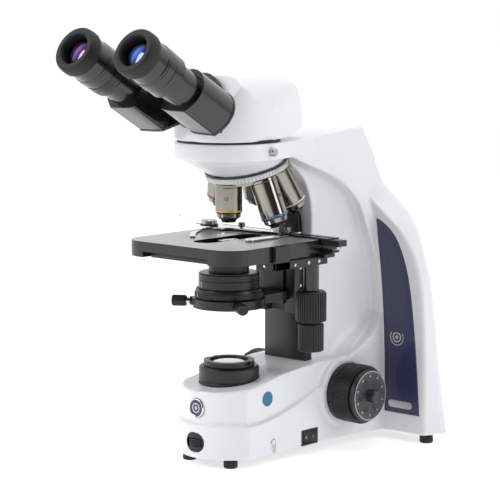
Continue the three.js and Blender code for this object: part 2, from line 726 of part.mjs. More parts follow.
function centringScrew(side) {
  const body = turned([[0, 23], [2, 23], [2, 36], [3, 36], [3, 38.5], [4.6, 38.5], [5, 39.5], [5, 50.5],
    [4.4, 51.5], [0, 51.5]], 16);
  return screwGeometry(side, body);
}

function condenserKnob() {
  const grip = join(extrudeZ(ribbed(9, 0.6, 16), -44, -28), rod(8, -45, -27, 20), rod(3, -30, -13, 16));
  return alongX(grip, 67, 148);
}

// ---------------------------------------------------------------- nosepiece
const OBJECTIVES = [
  { name: 'objective_10x', angle: 0, length: 33.5 },
  { name: 'objective_40x', angle: 72, length: 44 },
  { name: 'objective_100x', angle: 144, length: 45 },
  { name: 'objective_4x', angle: -72, length: 28 },
  { name: 'objective_20x', angle: -144, length: 40 },
];

// Frame of one objective: origin at its shoulder, own -Z along its optical axis.
function objectiveMatrix(angle) {
  const swing = new THREE.Matrix4().makeRotationZ(THREE.MathUtils.degToRad(angle));
  const offset = new THREE.Matrix4().makeTranslation(0, -OBJECTIVE_CIRCLE, 0);
  const lean = new THREE.Matrix4().makeRotationX(-TURRET_TILT);
  return swing.multiply(offset).multiply(lean);
}

function turretDisc() {
  const disc = turned([[0, -4], [24, -4], [32.6, -0.5], [32.6, 9.1], [0, 9.1]], 36);
  const seats = OBJECTIVES.map(({ angle }) => rod(12.7, -20, FIT, 24).applyMatrix4(objectiveMatrix(angle)));
  return cut(disc, ...seats);
}

function gripRing() {
  return cut(extrudeZ(ribbed(TURRET_RADIUS, 0.6, 36), 3.7, 9), rod(32.9, -5, 12, 36));
}

// Length 0 is the shoulder. The upper barrel, a waist, the marked sleeve and the tip.
function objectiveBody(length) {
  const sleeveEnd = length - 9;
  return turned([
    [0, 0], [12, 0], [12, -4], [11.4, -4.6], [12, -5.2], [12, -sleeveEnd], [10.6, -sleeveEnd - 1.5],
    [9.6, -sleeveEnd - 5], [6.6, -sleeveEnd - 7], [6.2, -length], [0, -length],
  ], 24);
}

// ---------------------------------------------------------------- head
function headCasing() {
  const side = extrudeX([
    [-46, HEAD_BOTTOM], [10, HEAD_BOTTOM + 0.6], [35, 291.5], [56, 296.5], [61, 302], [58, 312], [52.5, 323],
    [45, 334], [36, 341], [26, 345], [6, 347.5], [-19.5, 346.5], [-22.3, 345], [-47.8, 302.5], [-49, 298],
  ], -60, 60);
  const half = [...arc(0, 0, FLANGE_RADIUS, -90, 10, 13), [45.5, 22], [42.5, 38], [38.5, 52], [33, 60], [24, 63], [0, 64]];
  const plan = extrudeZ(mirrored(half), 280, 360);
  const front = [[-43, 287], [43, 287], [48, 294], [48.5, 303], [47.5, 318], [44.5, 330], [38, 339], [28, 344.5],
    [12, 347.3], [-12, 347.3], [-28, 344.5], [-38, 339], [-44.5, 330], [-47.5, 318], [-48.5, 303], [-48, 294]];
  const dome = common(common(side, plan), extrudeY(front, -80, 80));
  const spigot = rod(25.5, FLANGE_TOP - 5.5, HEAD_BOTTOM + 2, 32);
  const pin = onHinge(turned([[0, -12], [5, -12], [5, 8.4], [0, 8.4]], 20));
  return cut(join(dome, spigot, pin), rod(12, 270, 300, 24));
}

function clampScrew() {
  return alongX(turned([[0, 38], [2, 38], [2, 48.4], [3.6, 48.4], [3.6, 52.4], [3.1, 53], [0, 53]], 16), 3, 279);
}

// The hinge and the tubes share one direction, towards the user and up.
function hingeCentre() {
  return new THREE.Vector3(0, -37, 321.8);
}

// Own +Z of the piece points along the tubes, towards the user.
function onTubeDirection(geometry, origin) {
  return geometry.clone().rotateX(Math.PI / 2 - TUBE_INCLINE).translate(origin.x, origin.y, origin.z);
}

function onHinge(geometry) {
  return onTubeDirection(geometry, hingeCentre());
}

// Tube pieces are drawn with +Z towards the user and 0 at the eyecup face.
function onTube(geometry, side) {
  const origin = EYE_POINT.clone();
  origin.x = side * HALF_IPD;
  return onTubeDirection(geometry, origin);
}

// D-shaped prism box: flat towards the nose and below, round outside and above.
// Drawn for the right tube; own +Y points up.
function prismOutline(grow) {
  const r = 20.5 + grow;
  return [
    ...arc(0, 0, r, -40, 100, 14),
    [-13 - grow, 17 + grow], [-18 - grow, 11], [-19 - grow, -14], [-15 - grow, -19 - grow], [9, -20 - grow],
  ];
}

function prismHousing(side) {
  const shell = extrudeZ(prismOutline(0), -HOUSING_END + 2, -HOUSING_START);
  const rim = extrudeZ(prismOutline(0.6), -HOUSING_END, -HOUSING_END + 2.6);
  const tube = rod(16.2, -HOUSING_START - 1, -46.3, 28);
  const sleeve = rod(19.3, side > 0 ? -46.6 : -50, side > 0 ? -35.3 : -46.3, 28);
  const discBack = side > 0 ? 0.9 : 4.3;
  const link = rod(25.5, discBack, discBack + 3, 28);
  const arm = extrudeZ(linkOutline(side), discBack, discBack + 3);
  const post = side > 0 ? box(27, 40, -28, -5, discBack, 12) : box(-40, -27, -28, -5, discBack, 12);
  const linkPiece = cut(onHinge(join(link, arm, post)), onHinge(rod(5.3, -5, 20, 20)));
  const barrel = side > 0 ? join(shell, rim, tube, sleeve) : mirrorX(join(shell, rim, tube, sleeve));
  const bored = cut(join(barrel, rod(14, -60, -50, 20)), rod(13.2, -72, 0, 24));
  return join(onTube(bored, side), linkPiece);
}

// Flat arm from the hinge disc to the prism box, in the plane of the disc.
function linkOutline(side) {
  return [[0, 14], [36, -2], [40, -26], [22, -30], [0, -20]].map(([x, y]) => [side * x, y]);
}

function dioptreRing() {
  const body = cut(extrudeZ(ribbed(19.6, 0.4, 26), -45.9, -35.4), rod(16.5, -60, -20, 28));
  return onTube(body, -1);
}

function eyepieceBarrel(side) {
  const body = turned([
    [0, -35], [19.8, -35], [19.8, -24.5], [19.2, -24], [19.2, -13.4], [13.4, -13.4], [13.4, -12.2], [11, -9],
    [0, -9],
  ].map(([r, z]) => [r, z]), 28);
  const plug = rod(12.8, -58, -34, 24);
  return onTube(join(body, plug), side);
}

function eyecup(side) {
  return onTube(turned([
    [13.8, -13.1], [20, -13.1], [21, -11], [20.6, -3], [19.4, -0.6], [17.5, 0], [14.5, -0.6], [13.4, -3],
    [13.8, -13.1],
  ], 28), side);
}

function eyeLens(side) {
  return onTube(turned([[0, -8.7], [10.4, -8.7], [10.4, -7.6], [6, -6.6], [0, -6.2]], 20), side);
}

// ---------------------------------------------------------------- assembly
function piece(name, geometry, finish) {
  const flat = clean(geometry).toNonIndexed();
  flat.computeVertexNormals();
  const mesh = new THREE.Mesh(flat, new THREE.MeshStandardMaterial(finish));
  mesh.name = name;
  return mesh;
}

function placed(mesh, x, y, z) {
  mesh.position.set(x, y, z);
  return mesh;
}

function base() {
  const group = new THREE.Group();
  group.add(
    piece('stand_casting', standCasting(), WHITE_PAINT),
    piece('base_plate', basePlate(), BLACK_SATIN),
    placed(piece('foot_front_left', foot(), RUBBER), -25, -25, 0),
    placed(piece('foot_front_right', foot(), RUBBER), 25, -25, 0),
    placed(piece('foot_rear_left', foot(), RUBBER), -92, 171, 0),
    placed(piece('foot_rear_right', foot(), RUBBER), 92, 171, 0),
    piece('side_panel_right', sidePanel(), NAVY),
    piece('side_panel_left', mirrorX(sidePanel()), NAVY),
    piece('front_badge', frontBadge(), NAVY),
    piece('collector_housing', collectorHousing(), BLACK_SATIN),
    piece('field_diaphragm_ring', diaphragmRing(), BLACK_SATIN),
    piece('field_lens', fieldLens(), GLASS),
    piece('brightness_bezel', brightnessBezel(), BLACK_PLASTIC),
    piece('brightness_wheel', brightnessWheel(), DARK_GREY),
    piece('power_switch_frame', switchFrame(), BLACK_PLASTIC),
    piece('power_rocker', powerRocker(), BLACK_PLASTIC),
    piece('side_button', sideButton(), WHITE_PLASTIC),
    piece('mains_inlet', mainsInlet(), BLACK_PLASTIC),
  );
  return group;
}

function focusDrive() {
  const group = new THREE.Group();
  group.add(
    piece('coarse_knob_right', coarseKnob(), DARK_GREY),
    piece('coarse_knob_left', mirrorX(coarseKnob()), DARK_GREY),
    piece('coarse_shaft', coarseShaft(), ALUMINIUM),
    piece('fine_knob_right', fineKnobRight(), DARK_GREY),
    piece('fine_knob_left', fineKnobLeft(), DARK_GREY),
    piece('guide_rail', guideRail(), BLACK_SATIN),
  );
  return group;
}

function stage() {
  const group = new THREE.Group();
  group.add(
    piece('column_slide', columnSlide(), BLACK_SATIN),
    piece('stage_bracket', stageBracket(), BLACK_SATIN),
    piece('stage_support', stageSupport(), BLACK_SATIN),
    piece('stage_plate', stagePlate(), BLACK_SATIN),
    piece('x_guide_bar', guideBar(), BLACK_SATIN),
    piece('drive_bracket', driveBracket(), BLACK_SATIN),
    piece('y_knob', yKnob(), DARK_GREY),
    piece('x_knob', xKnob(), DARK_GREY),
    piece('slide_holder', slideHolder(), CHROME),
    piece('holder_finger', holderFinger(), CHROME),
  );
  return group;
}

function condenser() {
  const group = new THREE.Group();
  group.add(
    piece('condenser_carrier', condenserCarrier(), BLACK_SATIN),
    piece('condenser_body', condenserBody(), BLACK_SATIN),
    piece('condenser_lens', condenserLens(), GLASS),
    piece('aperture_ring', apertureRing(), BLACK_SATIN),
    piece('centring_screw_left', centringScrew(-1), DARK_GREY),
    piece('centring_screw_right', centringScrew(1), DARK_GREY),
    piece('condenser_knob', condenserKnob(), DARK_GREY),
  );
  return group;
}

function nosepiece() {
  const group = new THREE.Group();
  group.add(piece('turret_disc', turretDisc(), NICKEL), piece('turret_grip_ring', gripRing(), ALUMINIUM));
  for (const { name, angle, length } of OBJECTIVES) {
    const mesh = piece(name, objectiveBody(length), NICKEL);
    mesh.applyMatrix4(objectiveMatrix(angle));
    group.add(mesh);
  }
  group.rotation.x = TURRET_TILT;
  group.position.copy(turretCentre());
  return group;
}

function head() {
  const group = new THREE.Group();
  group.add(
    piece('head_casing', headCasing(), WHITE_PAINT),
    piece('head_clamp_screw', clampScrew(), CHROME),
    piece('dioptre_ring', dioptreRing(), TUBE_GREY),
  );
  for (const [word, side] of [['right', 1], ['left', -1]]) {
    group.add(
      piece(`prism_housing_${word}`, prismHousing(side), TUBE_GREY),
      piece(`eyepiece_${word}`, eyepieceBarrel(side), TUBE_GREY),
      piece(`eyecup_${word}`, eyecup(side), RUBBER),
      piece(`eye_lens_${word}`, eyeLens(side), GLASS),
    );
  }
  return group;
}

const microscope = new THREE.Group();
microscope.add(base(), focusDrive(), stage(), condenser(), nosepiece(), head());
microscope.position.y = DEPTH_SHIFT;

export default microscope;
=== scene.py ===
"""Looks of a binocular laboratory microscope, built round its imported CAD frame.

Drawing lengths are millimetres about the optical axis: x to the right of the microscope, y to its back, z up.
TO_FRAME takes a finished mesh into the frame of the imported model, in metres.
"""

import math

import bmesh
import bpy
from mathutils import Matrix, Vector

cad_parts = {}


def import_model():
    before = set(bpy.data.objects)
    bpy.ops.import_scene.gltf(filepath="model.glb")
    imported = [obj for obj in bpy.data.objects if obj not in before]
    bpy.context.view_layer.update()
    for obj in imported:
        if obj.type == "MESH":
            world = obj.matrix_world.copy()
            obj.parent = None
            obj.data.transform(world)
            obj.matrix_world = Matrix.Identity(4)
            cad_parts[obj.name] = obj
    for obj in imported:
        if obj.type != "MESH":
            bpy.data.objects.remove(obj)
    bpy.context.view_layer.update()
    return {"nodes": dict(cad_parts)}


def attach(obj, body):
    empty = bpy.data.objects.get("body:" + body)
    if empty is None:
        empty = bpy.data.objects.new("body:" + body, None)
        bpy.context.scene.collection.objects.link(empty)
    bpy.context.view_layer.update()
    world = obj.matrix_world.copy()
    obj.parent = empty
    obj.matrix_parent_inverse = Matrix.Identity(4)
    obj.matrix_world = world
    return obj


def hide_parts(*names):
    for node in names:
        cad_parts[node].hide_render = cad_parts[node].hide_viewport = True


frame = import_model()
scene = bpy.context.scene

MM = 0.001
DEPTH_SHIFT = -19.1
TO_FRAME = Matrix.Translation((0, DEPTH_SHIFT * MM, 0)) @ Matrix.Scale(MM, 4)
GAP = 0.3

# ---------------------------------------------------------------- camera
CAMERA_PLACE = Vector((1.2161, -1.3276, 0.4271))
CAMERA_RIGHT = Vector((0.7396, 0.6730, 0.0))
CAMERA_UP = Vector((-0.0888, 0.0976, 0.9913))
CAMERA_LENS = 146.0


def add_camera():
    camera = bpy.data.objects.new("camera", bpy.data.cameras.new("camera"))
    scene.collection.objects.link(camera)
    right = CAMERA_RIGHT.normalized()
    up = CAMERA_UP.normalized()
    back = right.cross(up)
    turn = Matrix((right, up, back)).transposed().to_4x4()
    camera.matrix_world = Matrix.Translation(CAMERA_PLACE) @ turn
    camera.data.lens = CAMERA_LENS
    camera.data.sensor_width = 36.0
    camera.data.clip_start = 0.05
    scene.camera = camera


add_camera()


# ---------------------------------------------------------------- outlines
def arc(cx, cy, radius, start, end, steps):
    """Points of a circular arc, angles in degrees."""
    turns = [math.radians(start + (end - start) * i / steps) for i in range(steps + 1)]
    return [(cx + radius * math.cos(a), cy + radius * math.sin(a)) for a in turns]


def mirrored(half):
    """Full outline from its right half, which runs from the front centre to the back centre."""
    return list(half) + [(-x, y) for x, y in reversed(half) if x > 1e-6]


def rounded_box(x0, x1, y0, y1, front, back, steps=12):
    return (
        arc(x0 + front, y0 + front, front, 180, 270, steps)
        + arc(x1 - front, y0 + front, front, 270, 360, steps)
        + arc(x1 - back, y1 - back, back, 0, 90, steps)
        + arc(x0 + back, y1 - back, back, 90, 180, steps)
    )


def rectangle(x0, x1, y0, y1):
    return [(x0, y0), (x1, y0), (x1, y1), (x0, y1)]


def ribbed(radius, depth, ribs, land=0.5):
    """Outline with ribs round its edge. land is the share of each pitch that stands proud."""
    points = []
    for i in range(ribs):
        for share, r in ((0, radius), (land, radius), (land + 0.12, radius - depth),
                (0.88, radius - depth)):
            turn = 2 * math.pi * (i + share) / ribs
            points.append((r * math.cos(turn), r * math.sin(turn)))
    return points


def spline(points, steps=6):
    """Smooth curve through points of any size, by Catmull-Rom."""
    vectors = [Vector(p) for p in points]
    padded = [2 * vectors[0] - vectors[1]] + vectors + [2 * vectors[-1] - vectors[-2]]
    curve = []
    for a, b, c, d in zip(padded, padded[1:], padded[2:], padded[3:]):
        for i in range(steps):
            t = i / steps
            square = (2 * a - 5 * b + 4 * c - d) * t**2
            cube = (3 * b - a - 3 * c + d) * t**3
            curve.append(0.5 * (2 * b + (c - a) * t + square + cube))
    curve.append(vectors[-1])
    return [tuple(p) for p in curve]


def smooth_table(rows, steps=5):
    """Rows of numbers, refined with smooth steps between the given ones along the first number."""
    refined = []
    for low in range(len(rows) - 1):
        a, b = rows[low], rows[low + 1]
        before, after = rows[max(low - 1, 0)], rows[min(low + 2, len(rows) - 1)]
        span = b[0] - a[0]
        for i in range(steps):
            t = i / steps
            row = [a[0] + span * t]
            for k in range(1, len(a)):
                slope_a = (b[k] - before[k]) / (b[0] - before[0])
                slope_b = (after[k] - a[k]) / (after[0] - a[0])
                row.append(
                    (2 * t**3 - 3 * t**2 + 1) * a[k]
                    + (t**3 - 2 * t**2 + t) * span * slope_a
                    + (3 * t**2 - 2 * t**3) * b[k]
                    + (t**3 - t**2) * span * slope_b
                )
            refined.append(tuple(row))
    refined.append(tuple(rows[-1]))
    return refined


def between(a, b, t):
    return a + (b - a) * t


def interpolate(rows, at):
    """Second number of the rows at a value of the first."""
    for low, high in zip(rows, rows[1:]):
        if at <= high[0]:
            break
    return between(low[1], high[1], (at - low[0]) / (high[0] - low[0]))


# ---------------------------------------------------------------- solids
def solid(rings, caps=True, closed=False):
    """Mesh through rings of points. A ring of one point closes the shape to a tip."""
    bm = bmesh.new()
    loops = [[bm.verts.new(p) for p in ring] for ring in rings]
    pairs = list(zip(loops, loops[1:]))
    if closed:
        pairs.append((loops[-1], loops[0]))
    for lower, upper in pairs:
        count = max(len(lower), len(upper))
        for i in range(count):
            j = (i + 1) % count
            corners = (lower[i % len(lower)], lower[j % len(lower)], upper[j % len(upper)],
                    upper[i % len(upper)])
            face = list(dict.fromkeys(corners))
            if len(face) > 2:
                bm.faces.new(face)
    if caps and not closed:
        for loop in (loops[0], loops[-1]):
            if len(loop) > 2:
                bm.faces.new(loop)
    bmesh.ops.recalc_face_normals(bm, faces=bm.faces)
    mesh = bpy.data.meshes.new("draft")
    bm.to_mesh(mesh)
    bm.free()
    return mesh


def lathe(profile, segments=96):
    """Solid of revolution about Z from (radius, height) points, from axis to axis or closed on themselves."""
    closed = profile[0] == profile[-1]
    turns = [2 * math.pi * i / segments for i in range(segments)]
    rings = []
    for r, z in profile[:-1] if closed else profile:
        rings.append([(r * math.cos(a), r * math.sin(a), z) for a in turns] if r > 1e-9 else [(0, 0, z)])
    return solid(rings, caps=False, closed=closed)


def rod(radius, z0, z1, segments=64):
    return lathe([(0, z0), (radius, z0), (radius, z1), (0, z1)], segments)


def tube(inner, outer, z0, z1, segments=96):
    return lathe([(inner, z0), (outer, z0), (outer, z1), (inner, z1), (inner, z0)], segments)


def extrude(outline, start, end, axis="z"):
    """Outline pushed along an axis. It is (x, y) for z, (y, z) for x and (x, z) for y."""
    place = {
        "z": lambda u, v, w: (u, v, w),
        "x": lambda u, v, w: (w, u, v),
        "y": lambda u, v, w: (u, w, v),
    }[axis]
    return solid([[place(u, v, w) for u, v in outline] for w in (start, end)])


def block(x0, x1, y0, y1, z0, z1):
    return extrude(rectangle(x0, x1, y0, y1), z0, z1)


def sweep(points, radius, sides=16):
    """Round wire along points."""
    path = [Vector(p) for p in points]
    rings = []
    side = None
    for i, point in enumerate(path):
        ahead = path[min(i + 1, len(path) - 1)] - path[max(i - 1, 0)]
        ahead.normalize()
        side = ahead.orthogonal() if side is None else side - ahead * side.dot(ahead)
        side.normalize()
        other = ahead.cross(side)
        turns = [2 * math.pi * k / sides for k in range(sides)]
        rings.append([tuple(point + radius * (math.cos(a) * side + math.sin(a) * other)) for a in turns])
    return solid(rings)


def moved(mesh, x=0.0, y=0.0, z=0.0):
    return placed(mesh, Matrix.Translation((x, y, z)))


def placed(mesh, matrix):
    copy = mesh.copy()
    copy.transform(matrix)
    if matrix.determinant() < 0:
        copy.flip_normals()
    return copy


ALONG_X = Matrix.Rotation(math.pi / 2, 4, "Y")
ALONG_Y = Matrix.Rotation(-math.pi / 2, 4, "X")
FACING_FRONT = Matrix.Rotation(math.pi / 2, 4, "X")
MIRROR = Matrix.Scale(-1, 4, (1, 0, 0))


def along_x(mesh, y, z):
    return placed(mesh, Matrix.Translation((0, y, z)) @ ALONG_X)


def along_y(mesh, x, z):
    return placed(mesh, Matrix.Translation((x, 0, z)) @ ALONG_Y)


def mirror(mesh):
    return placed(mesh, MIRROR)


SIDES = (("right", lambda mesh: mesh), ("left", mirror))


def gathered(*meshes):
    """Separate closed bodies kept in one mesh."""
    bm = bmesh.new()
    for mesh in meshes:
        bm.from_mesh(mesh)
    result = bpy.data.meshes.new("draft")
    bm.to_mesh(result)
    bm.free()
    return result


def applied(mesh, add_modifiers):
    """The mesh after the modifiers that add_modifiers puts on a helper object."""
    helper = bpy.data.objects.new("helper", mesh)
    scene.collection.objects.link(helper)
    others = add_modifiers(helper) or []
    result = bpy.data.meshes.new_from_object(helper.evaluated_get(bpy.context.evaluated_depsgraph_get()))
    for helper_object in [helper] + others:
        bpy.data.objects.remove(helper_object)
    return result


def combined(operation, first, *tools):
    def add(helper):
        others = []
        for tool in tools:
            other = bpy.data.objects.new("tool", tool)
            scene.collection.objects.link(other)
            modifier = helper.modifiers.new("combine", "BOOLEAN")
            modifier.operation = operation
            modifier.solver = "MANIFOLD"
            modifier.object = other
            others.append(other)
        bpy.context.view_layer.update()
        return others

    return applied(first, add)


def join(first, *others):
    return combined("UNION", first, *others)


def cut(first, *tools):
    return combined("DIFFERENCE", first, *tools)


def common(first, *tools):
    return combined("INTERSECT", first, *tools)


def softened(mesh, voxel, rounds):
    """Remeshed at the voxel size and smoothed, so that every edge becomes a small radius."""

    def add(helper):
        remesh = helper.modifiers.new("remesh", "REMESH")
        remesh.mode = "VOXEL"
        remesh.voxel_size = voxel
        smooth = helper.modifiers.new("smooth", "SMOOTH")
        smooth.factor = 0.5
        smooth.iterations = rounds

    return applied(mesh, add)


# ---------------------------------------------------------------- materials
COAT_ROUGHNESS = 0.08
LEAST_ROUGHNESS = 0.02
DRIFT_SCALE = 22.0     # cycles per metre of the broad colour drift
BUMP_DEPTH = 0.0003    # metres


def colour(red, green, blue):
    """Linear colour from 0-255 display values."""
    shares = [v / 255 for v in (red, green, blue)]
    return tuple(((v + 0.055) / 1.055) ** 2.4 if v > 0.04 else v / 12.92 for v in shares) + (1.0,)


def scaled(rgba, factor):
    return tuple(min(v * factor, 1.0) for v in rgba[:3]) + (1.0,)


def add_node(tree, kind, inputs=None, **settings):
    """New shader node. An input is a plain value or the socket that feeds it."""
    made = tree.nodes.new("ShaderNode" + kind)
    for key, value in settings.items():
        setattr(made, key, value)
    for key, value in (inputs or {}).items():
        if isinstance(value, bpy.types.NodeSocket):
            tree.links.new(value, made.inputs[key])
        else:
            made.inputs[key].default_value = value
    return made


def add_ramp(tree, fed_by, low, high):
    """Colour ramp between two (position, colour) ends."""
    ramp = add_node(tree, "ValToRGB", {"Fac": fed_by})
    for end, (position, rgba) in zip(ramp.color_ramp.elements, (low, high)):
        end.position = position
        end.color = rgba
    return ramp


def finish(name, rgba, roughness, metallic=0.0, coat=0.0, grain=1500.0, bump=0.05, spread=0.06,
           variation=0.05, stretch=(1.0, 1.0, 1.0), specular=0.5):
    """Material with broad colour drift, fine roughness grain and a fine surface bump."""
    material = bpy.data.materials.new(name)
    material.use_nodes = True
    tree = material.node_tree
    shader = tree.nodes["Principled BSDF"]
    shader.inputs["Metallic"].default_value = metallic
    shader.inputs["Coat Weight"].default_value = coat
    shader.inputs["Coat Roughness"].default_value = COAT_ROUGHNESS
    shader.inputs["Specular IOR Level"].default_value = specular

    place = add_node(tree, "TexCoord")
    mapping = add_node(tree, "Mapping", {"Scale": stretch, "Vector": place.outputs["Object"]})
    vector = mapping.outputs["Vector"]
    broad = add_node(tree, "TexNoise", {"Scale": DRIFT_SCALE, "Detail": 3.0, "Vector": vector})
    light, dark = scaled(rgba, 1 + variation), scaled(rgba, 1 - variation)
    drift = add_node(tree, "Mix", {"A": dark, "B": light, "Factor": broad.outputs["Fac"]}, data_type="RGBA")
    tree.links.new(drift.outputs["Result"], shader.inputs["Base Color"])

    fine = add_node(tree, "TexNoise", {"Scale": grain, "Detail": 2.0, "Vector": vector})
    worn = add_node(tree, "MapRange", {
        "To Min": max(roughness - spread, LEAST_ROUGHNESS), "To Max": roughness + spread,
        "Value": fine.outputs["Fac"],
    })
    tree.links.new(worn.outputs["Result"], shader.inputs["Roughness"])
    relief = add_node(tree, "Bump", {"Strength": bump, "Distance": BUMP_DEPTH,
            "Height": fine.outputs["Fac"]})
    tree.links.new(relief.outputs["Normal"], shader.inputs["Normal"])
    return material


WHITE_PAINT = finish("white_paint", colour(229, 230, 233), 0.34, coat=0.25, grain=2600.0, bump=0.03,
        variation=0.01)
BLACK_SATIN = finish("black_satin", colour(22, 22, 24), 0.36, grain=3000.0, bump=0.06, specular=0.55)
STAGE_BLACK = finish("stage_black", colour(22, 22, 24), 0.24, grain=3500.0, bump=0.03, specular=0.6)
# Light grey colour: a painted reflection, the silvery sheen of the black stage top.
PAINTED_STAGE_REFLECTION = finish("painted_stage_reflection", colour(142, 141, 139), 0.30, metallic=0.2, grain=3500.0, bump=0.01,
        coat=0.4)
BLACK_PLASTIC = finish("black_plastic", colour(20, 20, 22), 0.42, grain=2200.0, bump=0.10)
GRIP = finish("grip_plastic", colour(30, 30, 32), 0.44, grain=1800.0, bump=0.12, variation=0.08)
DIAL = finish("dial_grey", colour(48, 48, 51), 0.40, grain=1600.0, bump=0.10, variation=0.12)
TUBE_BLACK = finish("tube_black", colour(18, 17, 17), 0.26, coat=0.45, grain=1200.0, bump=0.03, spread=0.05)
RUBBER = finish("rubber", colour(20, 20, 21), 0.62, grain=1500.0, bump=0.2, spread=0.1)
NAVY = finish("navy_panel", colour(52, 56, 88), 0.28, coat=0.2, grain=2400.0, bump=0.03, variation=0.06)
CHROME = finish("chrome", colour(214, 216, 218), 0.10, metallic=1.0, grain=900.0, bump=0.01, spread=0.04,
        variation=0.03)
NICKEL = finish("nickel", colour(150, 147, 140), 0.13, metallic=1.0, grain=700.0, bump=0.02, spread=0.05,
                stretch=(1, 1, 9))
ALUMINIUM = finish("aluminium", colour(188, 189, 190), 0.32, metallic=1.0, grain=1500.0, bump=0.05,
        stretch=(1, 1, 6))
DARK_CHROME = finish("dark_chrome", colour(70, 70, 72), 0.24, metallic=1.0, grain=900.0, bump=0.03)
WHITE_INK = finish("white_ink", colour(225, 226, 226), 0.5, grain=3000.0, bump=0.05)
WHITE_PLASTIC = finish("white_plastic", colour(228, 229, 228), 0.35, grain=2000.0, bump=0.05)
SILVER_PRINT = finish("silver_print", colour(196, 198, 204), 0.3, metallic=0.7, grain=2000.0, bump=0.03)
BLACK_GAP = finish("black_seal", colour(16, 16, 18), 0.6, grain=2000.0, bump=0.08)
BAND_YELLOW = finish("band_yellow", colour(232, 200, 26), 0.38, grain=2000.0)
BAND_BLUE = finish("band_blue", colour(60, 132, 190), 0.38, grain=2000.0)
BAND_WHITE = finish("band_white", colour(232, 232, 228), 0.38, grain=2000.0)
BAND_RED = finish("band_red", colour(184, 38, 34), 0.38, grain=2000.0)
STICKER_TEAL = finish("sticker_teal", colour(36, 110, 150), 0.35, grain=2000.0)
BAND_GREEN = finish("band_green", colour(44, 140, 78), 0.38, grain=2000.0)
FIELD_GLASS = finish("field_glass", colour(238, 242, 244), 0.06, coat=1.0, grain=300.0, bump=0.0,
        variation=0.01)
CONDENSER_GLASS = finish("condenser_glass", colour(120, 128, 136), 0.05, coat=1.0, grain=300.0, bump=0.0)


def glass_with_painted_reflection(name, deep, painted_reflection_tint, reach):
    """Lens dark at its rim and brighter towards the middle, where its colour is a painted reflection; reach
    is in metres.
    """
    material = finish(name, deep, 0.06, coat=1.0, grain=400.0, bump=0.0)
    tree = material.node_tree
    place = add_node(tree, "TexCoord")
    mapping = add_node(tree, "Mapping", vector_type="TEXTURE")
    mapping.inputs["Scale"].default_value = (reach, reach, reach)
    tree.links.new(place.outputs["Object"], mapping.inputs["Vector"])
    ball = add_node(tree, "TexGradient", {"Vector": mapping.outputs["Vector"]}, gradient_type="SPHERICAL")
    ramp = add_ramp(tree, ball.outputs["Fac"], (0.0, deep), (0.75, painted_reflection_tint))
    tree.links.new(ramp.outputs["Color"], tree.nodes["Principled BSDF"].inputs["Base Color"])
    return material, mapping


def piece(name, mesh, body, material, replaces=(), bevel=0.25, sharp=32):
    """A finished mesh that rides on a CAD body. bevel rounds each edge that turns by over sharp degrees."""
    final = placed(mesh, TO_FRAME)
    final.materials.clear()
    final.materials.append(material)
    final.polygons.foreach_set("use_smooth", [True] * len(final.polygons))
    final.name = name
    made = bpy.data.objects.new(name, final)
    scene.collection.objects.link(made)
    if bevel:
        rounding = made.modifiers.new("edges", "BEVEL")
        rounding.width = bevel * MM
        rounding.segments = 2
        rounding.limit_method = "ANGLE"
        rounding.angle_limit = math.radians(sharp)
        rounding.harden_normals = True
    else:
        final.set_sharp_from_angle(angle=math.radians(sharp))
    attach(made, body)
    if replaces:
        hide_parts(*replaces)
    return made


def dress(node, material, bevel=0.3):
    """A CAD node that stays as it is, with a material and rounded edges."""
    made = frame["nodes"][node]
    made.data.materials.clear()
    made.data.materials.append(material)
    made.data.polygons.foreach_set("use_smooth", [True] * len(made.data.polygons))
    weld = made.modifiers.new("weld", "WELD")
    weld.merge_threshold = 0.00001
    rounding = made.modifiers.new("edges", "BEVEL")
    rounding.width = bevel * MM
    rounding.segments = 2
    rounding.limit_method = "ANGLE"
    rounding.angle_limit = math.radians(30)
    rounding.harden_normals = True


def text_mesh(words, size, depth):
    """Raised figures in the XY plane, centred on the origin."""
    curve = bpy.data.curves.new("figures", "FONT")
    curve.body = words
    curve.size = size
    curve.extrude = depth
    curve.align_x = "CENTER"
    curve.align_y = "CENTER"
    holder = bpy.data.objects.new("figures", curve)
    scene.collection.objects.link(holder)
    bpy.context.view_layer.update()
    mesh = bpy.data.meshes.new_from_object(holder.evaluated_get(bpy.context.evaluated_depsgraph_get()))
    bpy.data.objects.remove(holder)
    return mesh


# ---------------------------------------------------------------- stand casting
BASE_BOTTOM = 8
BADGE_Z = 53
BUTTON_Y = 13.8
BUTTON_Z = 18.8
CLAMP_Y = 3
CLAMP_Z = 279
NOSE_RADIUS = 45
DECK_RADIUS = 42
DECK_HALF_WIDTH = 38.5
SPINE_HALF_WIDTH = 24
CREASE_HALF_WIDTH = 39.5
SPINE_BACK = 157
FLANGE_RADIUS = 48
FLANGE_BOTTOM = 271.5
FLANGE_TOP = 286.5
FOCUS_Y = 110
FOCUS_Z = 51
TURRET_TILT = math.radians(15.5)
OBJECTIVE_CIRCLE = 26
SHOULDER_Z = 248

# height, front corner x and y, rear corner x and y, middle of the back
WINGS = [
    (8, 98, 160, 107, 184, 199),
    (25, 98, 160, 105.5, 182, 199),
    (80, 98.5, 159.5, 101.5, 177, 197),
    (122, 98.5, 157, 100, 172, 195),
    (155, 97, 153.5, 98.5, 167, 193),
    (173, 93, 151, 94, 165.5, 191),
    (187, 87, 148.5, 89, 166, 190),
    (201, 76.5, 146.5, 82, 168, 188),
    (214, 62.5, 144, 70, 170, 185),
    (228, 47, 141, 55, 169, 181.5),
    (242, 39, 138, 43, 164, 177),
    (270, 36.2, 133, 36.2, 156, 164),
    (293, 34.7, 125, 34.7, 143.5, 147),
]
